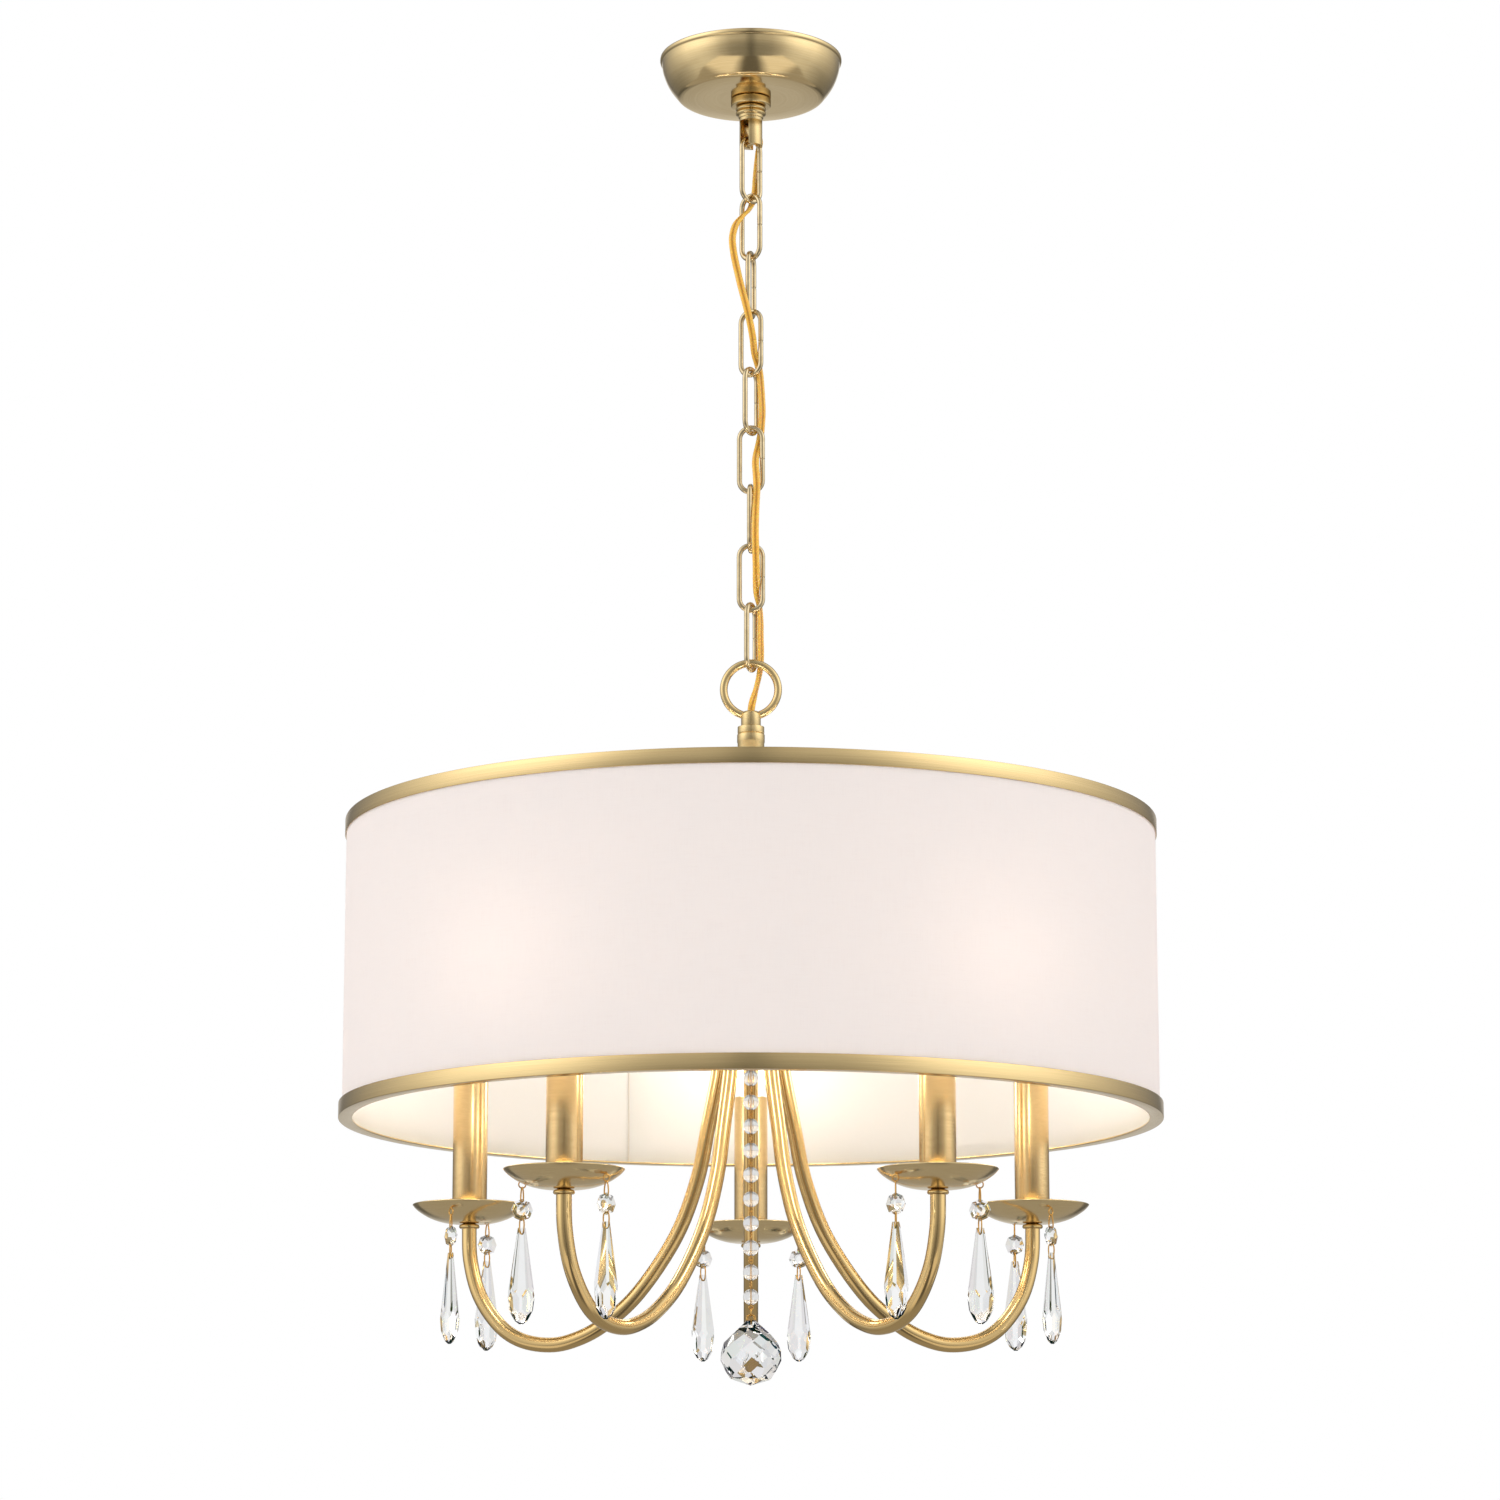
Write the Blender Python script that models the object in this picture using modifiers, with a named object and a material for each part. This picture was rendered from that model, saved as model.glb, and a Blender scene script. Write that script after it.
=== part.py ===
"""A five-light chandelier: a drum shade with brass bands, hung on a chain from a ceiling canopy.

Units are metres, +Z is up, and the origin is the middle of the ceiling plane that the canopy
touches, so everything hangs below it. Each separate piece of the real lamp is one object.
"""

import math

import bmesh
import bpy
from mathutils import Matrix, Vector

# Clearances and making
GAP = 0.0003
OVERRUN = 0.002
WELD = 0.00001
SHARP = math.radians(32)

# Mounting bar, against the ceiling inside the canopy
BAR_WIDTH = 0.018
BAR_THICKNESS = 0.002
BAR_SLOT_OFFSET = 0.034
BAR_SLOT_LENGTH = 0.012
BAR_SLOT_WIDTH = 0.0045
BAR_END = 0.008
BAR_LENGTH = 2 * (BAR_SLOT_OFFSET + BAR_SLOT_LENGTH / 2 + BAR_END)

# Threaded nipple with its lock nut
NIPPLE_RADIUS = 0.0048
NIPPLE_BORE = 0.0035
NIPPLE_GRIP = 0.0055
NUT_RADIUS = 0.0085
NUT_HEIGHT = 0.004

# Canopy, a spun bowl with a flat face below
CANOPY_RADIUS = 0.060
CANOPY_FLAT_RADIUS = 0.0455
CANOPY_DEPTH = 0.028
CANOPY_WALL = 0.0009
CANOPY_SHARES = (
    (1.0, 0.0), (1.0, 0.05), (0.94, 0.08), (0.876, 0.32), (0.724, 0.536),
    (0.538, 0.714), (0.214, 0.929), (0.0, 1.0),
)

# Screw ring under the canopy
SCREW_RING_RADIUS = 0.0132
SCREW_RING_HEIGHT = 0.0052
SCREW_RING_EDGE = 0.0008

# Slotted loop that the chain hangs on
LOOP_BEAD_RADIUS = 0.0100
LOOP_BEAD_HEIGHT = 0.0030
LOOP_NECK_RADIUS = 0.0082
LOOP_NECK_HEIGHT = 0.0020
LOOP_BODY_RADIUS = 0.00755
LOOP_BODY_LENGTH = 0.0188
LOOP_ROOF = 0.0020
LOOP_SLOT_PLAY = 0.00165
LOOP_BAR_RADIUS = 0.0014
LOOP_BAR_LIFT = 0.0004
LOOP_EDGE = 0.0010

# Chain
LINK_LENGTH = 0.0465
LINK_WIDTH = 0.0184
LINK_WIRE_RADIUS = 0.0017
LINK_TURNS = (39.0, -39.0, 75.5, -31.0, 59.5, -8.0, 83.4, 0.0, 68.4)

# Lifting ring and the cap that closes it
RING_RADIUS = 0.0175
RING_WIRE_RADIUS = 0.0025
CAP_RADIUS = 0.00635
CAP_HEIGHT = 0.0101
CAP_RISE = 0.0033
CAP_EDGE = 0.0018
CAP_GRIP = 0.0040
CAP_SOCKET_DEPTH = 0.0017

# Lamp cord
CORD_RADIUS = 0.0018
CORD_PLAY = 0.0005
CORD_SPACING = 0.0095

# Collar tube between the cap and the shade, and the threaded stem inside it
COLLAR_RADIUS = 0.0086
COLLAR_BAND_RADIUS = 0.0089
COLLAR_GROOVE_RADIUS = 0.0080
COLLAR_HEAD_HEIGHT = 0.0045
COLLAR_GROOVE_HEIGHT = 0.0006
COLLAR_BAND_HEIGHT = 0.0050
COLLAR_LENGTH = 0.0705
COLLAR_EDGE = 0.0009
STEM_RADIUS = 0.0040
STEM_BORE = 0.0026
STEM_NUT_RADIUS = 0.0090
STEM_NUT_HEIGHT = 0.0050
STEM_GRIP = 0.0150

# Drum shade, its two bands and its spider
SHADE_HEIGHT = 0.190
SHADE_RADIUS = 0.2577
CLOTH_THICKNESS = 0.0014
BAND_HEIGHT = 0.0095
FLANGE_THICKNESS = 0.0012
TOP_BAND_WALL = 0.0006
TOP_FLANGE_WIDTH = 0.0086
BOTTOM_BAND_WALL = 0.0020
BOTTOM_FLANGE_WIDTH = 0.0089
SPIDER_RECESS = 0.0060
WASHER_RADIUS = 0.0140
WASHER_THICKNESS = 0.0020
SPOKE_COUNT = 3
SPOKE_RADIUS = 0.0018
SPOKE_RISE = 0.0140
SHADE_STEPS = 60

# Hub that gathers the arms
HUB_DROP = 0.0320
HUB_RADIUS = 0.0270
HUB_TOP_RADIUS = 0.0120
HUB_HEIGHT = 0.0360
HUB_SHARES = (
    (0.0, 0.0), (0.0, 0.18), (0.45, 0.30), (0.86, 0.46), (1.0, 0.64), (1.0, 0.90), (0.86, 1.0),
)
HUB_EYE_RADIUS = 0.0035
HUB_EYE_WIRE = 0.0010

# Arms
ARM_COUNT = 5
ARM_TUBE_RADIUS = 0.00475
ARM_ROOT_RADIUS = 0.0170
ARM_GRIP = 0.0120
ARM_REACH = 0.190
ARM_DEPTH = 0.251
ARM_ROUTE_SHARES = (
    (0.0, 0.0), (0.003, 0.134), (0.012, 0.235), (0.029, 0.336), (0.069, 0.470), (0.110, 0.600),
    (0.191, 0.738), (0.335, 0.876), (0.474, 0.955), (0.594, 0.992), (0.694, 1.0),
    (0.800, 0.984), (0.885, 0.942), (0.958, 0.868), (0.994, 0.780), (1.0, 0.7007),
)
FERRULE_RADIUS = 0.0066
FERRULE_HEIGHT = 0.0030
ARM_TIP_RADIUS = 0.0040
ARM_TIP_LENGTH = 0.0135
STEP_RUN = 0.0001

# Dish under each candle
DISH_RADIUS = 0.0366
DISH_DEPTH = 0.0120
DISH_WALL = 0.0008
DISH_SEAT_SHARE = 0.975
DISH_SEAT_MARGIN = 0.00105
DISH_SHARES = ((1.0, 0.0), (0.882, 0.35), (0.66, 0.73))
DISH_STEPS = 20
PENDANT_INSET = 0.0046
PENDANT_HOLE_RADIUS = 0.0013

# Candle sleeve, lamp holder and bulb
SLEEVE_LENGTH = 0.0962
SLEEVE_RADIUS = 0.01115
SLEEVE_WALL = 0.0008
HOLDER_RECESS = 0.0010
HOLDER_NECK_RADIUS = 0.0062
HOLDER_CUP_LENGTH = 0.0450
HOLDER_CONE_LENGTH = 0.0060
HOLDER_BORE_DEPTH = 0.0240
BULB_BASE_RADIUS = 0.0060
BULB_BASE_LENGTH = 0.0260
BULB_RADIUS = 0.0175
BULB_GLASS_LENGTH = 0.0700
BULB_SHARES = (
    (0.0, 0.0), (0.17, 0.03), (0.42, 0.20), (0.80, 0.42), (1.0, 0.64), (0.86, 0.84), (0.46, 0.97),
)

# Crystal pendants
PENDANT_PIN_RADIUS = 0.0005
PENDANT_HEAD_RADIUS = 0.0014
PENDANT_HEAD_RISE = 0.0038
OCTAGON_RADIUS = 0.0066
OCTAGON_TABLE_RADIUS = 0.0034
OCTAGON_THICKNESS = 0.0066
OCTAGON_DROP = 0.0186
DROP_START = 0.0293
DROP_LENGTH = 0.0575
DROP_WIDTH = 0.0157
DROP_THICKNESS = 0.0096
DROP_SHARES = ((0.32, 0.0), (0.42, 0.10), (0.80, 0.48), (1.0, 0.70), (0.94, 0.81), (0.64, 0.94))
PENDANT_TWISTS = (-8.0, 25.0, 30.0, -52.0, 12.0, 38.0, -34.0, -12.0, 50.0, -28.0)

# Bead strand and crystal ball
BEAD_RADIUS = 0.0050
BEAD_PITCH = 0.01533
BEAD_COUNT = 14
STRAND_PIN_RADIUS = 0.0006
STRAND_LEAD = 0.0150
STRAND_TAIL = 0.0095
EYE_RADIUS = 0.0024
EYE_WIRE = 0.0007
BALL_RADIUS = 0.0191
BALL_NIPPLE_RADIUS = 0.0032
BALL_NIPPLE_HEIGHT = 0.0028

# The cord's route: down the nipple, out behind the loop, in and out of the links, into the cap.
CORD_ROUTE = (
    (0.0000, 0.0000, -0.0030), (0.0000, 0.0000, -0.0200), (0.0000, 0.0000, -0.0370),
    (0.0005, 0.0004, -0.0435), (0.0025, 0.0020, -0.0480), (0.0044, 0.0039, -0.0508),
    (0.0056, 0.0058, -0.0540), (0.0058, 0.0078, -0.0572), (0.0045, 0.0090, -0.0622),
    (0.0036, 0.0092, -0.0700), (0.0032, 0.0087, -0.0800),
    (0.0028, 0.0080, -0.0888), (0.0013, 0.0064, -0.0965), (-0.0015, 0.0016, -0.1040),
    (-0.0054, -0.0034, -0.1095), (-0.0100, -0.0060, -0.1165), (-0.0121, -0.0065, -0.1254),
    (-0.0114, -0.0062, -0.1346), (-0.0098, -0.0064, -0.1435), (-0.0078, -0.0076, -0.1530),
    (-0.0058, -0.0095, -0.1620), (-0.0036, -0.0113, -0.1710), (-0.0010, -0.0106, -0.1820),
    (0.0012, -0.0080, -0.1935), (0.0024, -0.0022, -0.2025), (0.0046, 0.0016, -0.2095),
    (0.0059, 0.0023, -0.2160), (0.0069, 0.0023, -0.2290), (0.0074, 0.0025, -0.2410),
    (0.0068, 0.0034, -0.2515), (0.0060, 0.0040, -0.2585), (0.0046, 0.0022, -0.2655),
    (0.0034, -0.0008, -0.2715), (0.0030, -0.0036, -0.2780), (0.0036, -0.0052, -0.2870),
    (0.0038, -0.0058, -0.2950), (0.0034, -0.0072, -0.3030), (0.0030, -0.0092, -0.3130),
    (0.0028, -0.0100, -0.3240), (0.0030, -0.0094, -0.3340), (0.0034, -0.0068, -0.3460),
    (0.0035, -0.0026, -0.3555), (0.0037, 0.0019, -0.3635), (0.0054, 0.0040, -0.3705),
    (0.0062, 0.0038, -0.3805), (0.0062, 0.0036, -0.3915), (0.0064, 0.0048, -0.4026),
    (0.0059, 0.0050, -0.4125), (0.0042, 0.0043, -0.4215), (0.0023, 0.0025, -0.4295),
    (0.0007, 0.0007, -0.4362), (0.0000, 0.0000, -0.4430), (0.0000, 0.0000, -0.4600),
    (0.0000, 0.0000, -0.5000), (0.0000, 0.0000, -0.5400), (0.0000, 0.0000, -0.5640),
)

# Heights that follow from the sizes above
Z_RING_TOP = -CANOPY_DEPTH - GAP
Z_LOOP_TOP = Z_RING_TOP - SCREW_RING_HEIGHT - GAP
Z_LOOP_BODY = Z_LOOP_TOP - 2 * LOOP_BEAD_HEIGHT - LOOP_NECK_HEIGHT
Z_LOOP_END = Z_LOOP_BODY - LOOP_BODY_LENGTH
Z_LOOP_BAR = Z_LOOP_END + LOOP_BAR_LIFT + LOOP_BAR_RADIUS
Z_NIPPLE_END = Z_LOOP_TOP - NIPPLE_GRIP
LINK_PITCH = LINK_LENGTH - 4 * LINK_WIRE_RADIUS - GAP
Z_FIRST_LINK = Z_LOOP_BAR + LOOP_BAR_RADIUS + GAP + 2 * LINK_WIRE_RADIUS
Z_CHAIN_END = Z_FIRST_LINK - LINK_PITCH * (len(LINK_TURNS) - 1) - LINK_LENGTH
Z_SWING = Z_CHAIN_END + LINK_WIRE_RADIUS
Z_RING = Z_SWING + LINK_WIRE_RADIUS + GAP - (RING_RADIUS - RING_WIRE_RADIUS)
Z_CAP_TOP = Z_RING - RING_RADIUS + CAP_RISE
Z_CAP_END = Z_CAP_TOP - CAP_HEIGHT
Z_COLLAR_TOP = Z_CAP_END - GAP
Z_COLLAR_END = Z_COLLAR_TOP - COLLAR_LENGTH
Z_WASHER_TOP = Z_COLLAR_END - GAP
Z_WASHER_END = Z_WASHER_TOP - WASHER_THICKNESS
Z_SHADE_TOP = Z_WASHER_TOP + SPIDER_RECESS
Z_SHADE_END = Z_SHADE_TOP - SHADE_HEIGHT
Z_HUB_TOP = Z_WASHER_END - HUB_DROP
Z_HUB_END = Z_HUB_TOP - HUB_HEIGHT
Z_STEM_END = Z_HUB_TOP - STEM_GRIP
Z_ARM_END = Z_HUB_END - ARM_DEPTH * ARM_ROUTE_SHARES[-1][1]
Z_FERRULE_TOP = Z_ARM_END + FERRULE_HEIGHT
Z_DISH_RIM = Z_FERRULE_TOP + GAP + DISH_DEPTH
Z_SLEEVE_END = Z_DISH_RIM - DISH_DEPTH * DISH_SEAT_SHARE + DISH_WALL + GAP
Z_SLEEVE_TOP = Z_SLEEVE_END + SLEEVE_LENGTH
Z_HOLDER_END = Z_DISH_RIM - DISH_DEPTH + DISH_WALL + GAP
Z_HOLDER_TOP = Z_SLEEVE_TOP - HOLDER_RECESS
Z_BULB_END = Z_HOLDER_TOP - HOLDER_BORE_DEPTH + GAP
PENDANT_OFFSET = DISH_RADIUS - PENDANT_INSET
DISH_OUTLINE = [(DISH_RADIUS * out, DISH_DEPTH * down) for out, down in DISH_SHARES] + [
    (SLEEVE_RADIUS + DISH_SEAT_MARGIN, DISH_DEPTH * DISH_SEAT_SHARE),
]
PENDANT_DEPTH = next(
    here[1] + (there[1] - here[1]) * (here[0] - PENDANT_OFFSET) / (here[0] - there[0])
    for here, there in zip(DISH_OUTLINE, DISH_OUTLINE[1:]) if there[0] <= PENDANT_OFFSET
)
Z_PENDANT = Z_DISH_RIM - PENDANT_DEPTH + DISH_WALL / 2
Z_STRAND = Z_HUB_END - 2 * HUB_EYE_RADIUS
Z_STRAND_EYE = Z_STRAND + HUB_EYE_WIRE + GAP + EYE_WIRE - EYE_RADIUS
Z_FIRST_BEAD = Z_STRAND_EYE - EYE_RADIUS - STRAND_LEAD
Z_LAST_BEAD = Z_FIRST_BEAD - BEAD_PITCH * (BEAD_COUNT - 1)
Z_TAIL_EYE = Z_LAST_BEAD - STRAND_TAIL
Z_BALL_SWING = Z_TAIL_EYE - EYE_RADIUS
Z_BALL_EYE = Z_BALL_SWING + EYE_WIRE + GAP + EYE_WIRE - EYE_RADIUS
Z_BALL = Z_BALL_EYE - EYE_RADIUS - BALL_NIPPLE_HEIGHT - BALL_RADIUS + EYE_WIRE

# Colour, roughness and metallic value of each finish
FINISHES = {
    "satin_brass": ((0.60, 0.44, 0.20), 0.32, 1.0),
    "chain_brass": ((0.66, 0.55, 0.36), 0.25, 1.0),
    "zinc_steel": ((0.55, 0.55, 0.54), 0.45, 1.0),
    "cord_amber": ((0.72, 0.42, 0.05), 0.30, 0.0),
    "white_cloth": ((0.88, 0.85, 0.80), 0.85, 0.0),
    "crystal": ((0.92, 0.94, 0.95), 0.03, 0.0),
    "bulb_glass": ((0.95, 0.90, 0.80), 0.20, 0.0),
    "holder_plastic": ((0.85, 0.82, 0.74), 0.50, 0.0),
}


def clear_scene():
    for thing in list(bpy.data.objects):
        bpy.data.objects.remove(thing)


def new_collection(name):
    made = bpy.data.collections.new(name)
    bpy.context.scene.collection.children.link(made)
    return made


def finish_for(name, finish):
    colour, roughness, metallic = FINISHES[finish]
    made = bpy.data.materials.new(name + "_" + finish)
    made.use_nodes = True
    shader = made.node_tree.nodes["Principled BSDF"]
    shader.inputs["Base Color"].default_value = (*colour, 1.0)
    shader.inputs["Roughness"].default_value = roughness
    shader.inputs["Metallic"].default_value = metallic
    return made


def pivot(name, height, parent=None):
    """An empty on a joint's axis. What it carries is placed from it."""
    made = bpy.data.objects.new(name, None)
    PIECES.objects.link(made)
    made.parent = parent
    made.location = (0, 0, height - (parent.location.z if parent else 0))
    return made


def add(name, data, finish, place=(0, 0, 0), turn=0.0, carrier=None):
    """A named object at a place in the lamp's frame, carried by a pivot."""
    made = bpy.data.objects.new(name, data)
    PIECES.objects.link(made)
    made.data.materials.clear()
    made.data.materials.append(finish_for(name, finish))
    made.rotation_euler.z = turn
    made.location = Vector(place)
    if carrier:
        made.parent = carrier
        made.location = Vector(place) - carrier.location
    return made


def turned_mesh(profile, steps):
    """A profile of (radius, height) points, turned round Z. It runs down its outer side."""
    mesh = bpy.data.meshes.new("profile")
    count = len(profile)
    edges = [(n, n + 1) for n in range(count - 1)]
    if profile[0][0] > 0 and profile[-1][0] > 0 and profile[0] != profile[-1]:
        edges.append((count - 1, 0))
    mesh.from_pydata([(radius, 0, height) for radius, height in profile], edges, [])
    return screwed(mesh, steps)


def shell_mesh(profile, steps, wall):
    """An open profile turned round Z and given a wall on its inner side."""
    mesh = bpy.data.meshes.new("profile")
    edges = [(n, n + 1) for n in range(len(profile) - 1)]
    mesh.from_pydata([(radius, 0, height) for radius, height in profile], edges, [])
    return screwed(mesh, steps, wall)


def screwed(mesh, steps, wall=None):
    draft = bpy.data.objects.new("draft", mesh)
    CUTTERS.objects.link(draft)
    screw = draft.modifiers.new("turn", "SCREW")
    screw.steps = screw.render_steps = steps
    screw.use_merge_vertices = True
    screw.merge_threshold = WELD
    if wall:
        solid = draft.modifiers.new("wall", "SOLIDIFY")
        solid.thickness = wall
        solid.offset = -1
        solid.use_even_offset = True
    return settled(draft)


def settled(draft):
    """The draft's evaluated mesh in world space, welded and shaded. The draft is removed."""
    bpy.context.view_layer.update()
    graph = bpy.context.evaluated_depsgraph_get()
    mesh = bpy.data.meshes.new_from_object(draft.evaluated_get(graph))
    mesh.transform(draft.matrix_world)
    work = bmesh.new()
    work.from_mesh(mesh)
    bmesh.ops.remove_doubles(work, verts=work.verts, dist=WELD)
    work.to_mesh(mesh)
    work.free()
    mesh.shade_smooth()
    mesh.set_sharp_from_angle(angle=SHARP)
    bpy.data.objects.remove(draft)
    return mesh


def wire_mesh(points, radius, closed=False, swells=None, detail=2):
    """A round bar along points. Swells are the radius at each point as a multiple of the radius."""
    curve = bpy.data.curves.new("line", "CURVE")
    curve.dimensions = "3D"
    curve.bevel_depth = radius
    curve.bevel_resolution = detail
    curve.use_fill_caps = not closed
    spline = curve.splines.new("POLY")
    spline.points.add(len(points) - 1)
    for number, point in enumerate(points):
        spline.points[number].co = (*point, 1.0)
        spline.points[number].radius = swells[number] if swells else 1.0
    spline.use_cyclic_u = closed
    draft = bpy.data.objects.new("draft", curve)
    CUTTERS.objects.link(draft)
    return settled(draft)


def combined(base, others, operation):
    """The base mesh with the other meshes joined to it or cut from it."""
    draft = bpy.data.objects.new("base", base)
    CUTTERS.objects.link(draft)
    helpers = []
    for number, mesh in enumerate(others):
        helper = bpy.data.objects.new("helper_%d" % number, mesh)
        helper.hide_render = True
        helper.display_type = "WIRE"
        CUTTERS.objects.link(helper)
        step = draft.modifiers.new("step_%d" % number, "BOOLEAN")
        step.operation = operation
        step.solver = "EXACT"
        step.object = helper
        helpers.append(helper)
    made = settled(draft)
    for helper in helpers:
        bpy.data.objects.remove(helper)
    return made


def moved(mesh, place=(0, 0, 0), turn=0.0):
    """A copy of the mesh, turned round Z and then moved."""
    copy = mesh.copy()
    copy.transform(Matrix.Translation(Vector(place)) @ Matrix.Rotation(turn, 4, "Z"))
    return copy


def block_mesh(size, place=(0, 0, 0), turn=0.0):
    work = bmesh.new()
    bmesh.ops.create_cube(work, size=1.0)
    bmesh.ops.scale(work, vec=Vector(size), verts=work.verts)
    mesh = bpy.data.meshes.new("block")
    work.to_mesh(mesh)
    work.free()
    return moved(mesh, place, turn)


def drum_mesh(radius, top, bottom, sides=24):
    """A plain cylinder from one height to another."""
    return turned_mesh([(0, top), (radius, top), (radius, bottom), (0, bottom)], sides)


def ring_points(radius, centre, count, turn=0.0, start=0.0, sweep=math.tau):
    """Points on an upright circle, from a start angle at its top. Turn is its plane's angle from +X."""
    closed = abs(sweep - math.tau) < WELD
    steps = count if closed else count - 1
    found = []
    for number in range(count):
        angle = start + sweep * number / steps
        across = radius * math.sin(angle)
        found.append((
            centre[0] + across * math.cos(turn),
            centre[1] + across * math.sin(turn),
            centre[2] + radius * math.cos(angle),
        ))
    return found


def smooth(route, steps):
    """Points on a smooth curve through the route's own points."""
    ends = [route[0]] + list(route) + [route[-1]]
    found = []
    for number in range(1, len(ends) - 2):
        before, here, there, after = (Vector(ends[number + k]) for k in (-1, 0, 1, 2))
        for step in range(steps):
            t = step / steps
            found.append(
                here
                + (there - before) * (t / 2)
                + (before * 2 - here * 5 + there * 4 - after) * (t * t / 2)
                + (here * 3 - before - there * 3 + after) * (t * t * t / 2)
            )
    return found + [Vector(route[-1])]


def make_ceiling_plate():
    bar = block_mesh((BAR_LENGTH, BAR_WIDTH, BAR_THICKNESS), (0, 0, -BAR_THICKNESS / 2))
    low, high = -BAR_THICKNESS - OVERRUN, OVERRUN
    cuts = [drum_mesh(NIPPLE_RADIUS + GAP, high, low)]
    for side in (-1, 1):
        middle = side * BAR_SLOT_OFFSET
        straight = BAR_SLOT_LENGTH - BAR_SLOT_WIDTH
        cuts.append(block_mesh((straight, BAR_SLOT_WIDTH, high - low), (middle, 0, (high + low) / 2)))
        for end in (-1, 1):
            hole = drum_mesh(BAR_SLOT_WIDTH / 2, high, low, 12)
            cuts.append(moved(hole, (middle + end * straight / 2, 0, 0)))
    add("mounting_bar", combined(bar, cuts, "DIFFERENCE"), "zinc_steel")

    nut_top = -BAR_THICKNESS - GAP
    tube = turned_mesh([
        (NIPPLE_RADIUS, -GAP), (NIPPLE_RADIUS, Z_NIPPLE_END),
        (NIPPLE_BORE, Z_NIPPLE_END), (NIPPLE_BORE, -GAP),
    ], 16)
    nut = turned_mesh([
        (NUT_RADIUS, nut_top), (NUT_RADIUS, nut_top - NUT_HEIGHT),
        ((NIPPLE_RADIUS + NIPPLE_BORE) / 2, nut_top - NUT_HEIGHT),
        ((NIPPLE_RADIUS + NIPPLE_BORE) / 2, nut_top),
    ], 6)
    add("ceiling_nipple", combined(tube, [nut], "UNION"), "zinc_steel")


def make_canopy():
    reach = CANOPY_RADIUS - CANOPY_FLAT_RADIUS
    bowl = [
        (CANOPY_FLAT_RADIUS + out * reach, -down * CANOPY_DEPTH) for out, down in CANOPY_SHARES
    ]
    bowl.append((NIPPLE_RADIUS + GAP, -CANOPY_DEPTH))
    add("canopy", shell_mesh(bowl, 32, CANOPY_WALL), "satin_brass")

    bore = NIPPLE_RADIUS + GAP
    bottom = Z_RING_TOP - SCREW_RING_HEIGHT
    add("canopy_ring", turned_mesh([
        (SCREW_RING_RADIUS - SCREW_RING_EDGE, Z_RING_TOP),
        (SCREW_RING_RADIUS, Z_RING_TOP - SCREW_RING_EDGE),
        (SCREW_RING_RADIUS, bottom + SCREW_RING_EDGE),
        (SCREW_RING_RADIUS - SCREW_RING_EDGE, bottom), (bore, bottom), (bore, Z_RING_TOP),
    ], 26), "satin_brass")


def make_canopy_loop():
    """Two beads, a neck and a slotted body. A round bar closes the slot below the first link."""
    bore = NIPPLE_RADIUS + GAP
    outline = []
    for number in range(2):
        top = Z_LOOP_TOP - number * LOOP_BEAD_HEIGHT
        waist = LOOP_BEAD_RADIUS - LOOP_EDGE
        outline += [
            (waist, top), (LOOP_BEAD_RADIUS, top - LOOP_BEAD_HEIGHT / 3),
            (LOOP_BEAD_RADIUS, top - LOOP_BEAD_HEIGHT * 2 / 3),
        ]
    outline += [
        (LOOP_NECK_RADIUS, Z_LOOP_BODY + LOOP_NECK_HEIGHT), (LOOP_NECK_RADIUS, Z_LOOP_BODY),
        (LOOP_BODY_RADIUS, Z_LOOP_BODY), (LOOP_BODY_RADIUS, Z_LOOP_END + LOOP_EDGE),
        (LOOP_BODY_RADIUS - LOOP_EDGE, Z_LOOP_END), (0, Z_LOOP_END),
    ]
    thread_end = Z_NIPPLE_END - GAP
    inside = [(0, thread_end), (bore, thread_end), (bore, Z_LOOP_TOP)]
    body = turned_mesh(inside + outline, 20)
    turn = math.radians(LINK_TURNS[0])
    roof = Z_LOOP_BODY - LOOP_ROOF
    height = roof - Z_LOOP_END + OVERRUN
    slot_side = LINK_WIRE_RADIUS + LOOP_SLOT_PLAY
    slot = block_mesh(
        (2 * LOOP_BODY_RADIUS + OVERRUN, 2 * slot_side, height), (0, 0, roof - height / 2), turn
    )
    bore_cut = drum_mesh(NIPPLE_BORE, thread_end + OVERRUN, roof - OVERRUN, 12)
    body = combined(body, [slot, bore_cut], "DIFFERENCE")
    across = Vector((-math.sin(turn), math.cos(turn), 0)) * (slot_side + LOOP_EDGE)
    centre = Vector((0, 0, Z_LOOP_BAR))
    bar = wire_mesh([centre - across, centre + across], LOOP_BAR_RADIUS, detail=3)
    add("canopy_loop", combined(body, [bar], "UNION"), "satin_brass")


def link_points():
    """The centreline of one link in its own XZ plane, measured down from the link's top."""
    bend = LINK_WIDTH / 2 - LINK_WIRE_RADIUS
    high = -(LINK_WIDTH / 2)
    low = -LINK_LENGTH + LINK_WIDTH / 2
    bend_steps = 7
    found = []
    for middle, start in ((high, -90), (low, 90)):
        for number in range(bend_steps):
            angle = math.radians(start + 180 * number / (bend_steps - 1))
            found.append((bend * math.sin(angle), 0, middle + bend * math.cos(angle)))
    return found


def make_chain():
    """Each link hangs from its own pivot, on the wire that it swings about."""
    carrier = None
    shape = wire_mesh(link_points(), LINK_WIRE_RADIUS, closed=True)
    for number, turn in enumerate(LINK_TURNS):
        top = Z_FIRST_LINK - number * LINK_PITCH
        hang = Z_LOOP_BAR if number == 0 else top - 3 * LINK_WIRE_RADIUS - GAP
        carrier = pivot("link_pivot_%d" % (number + 1), hang)
        add("chain_link_%d" % (number + 1), shape.copy(), "chain_brass",
            (0, 0, top), math.radians(turn), carrier)


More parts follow.
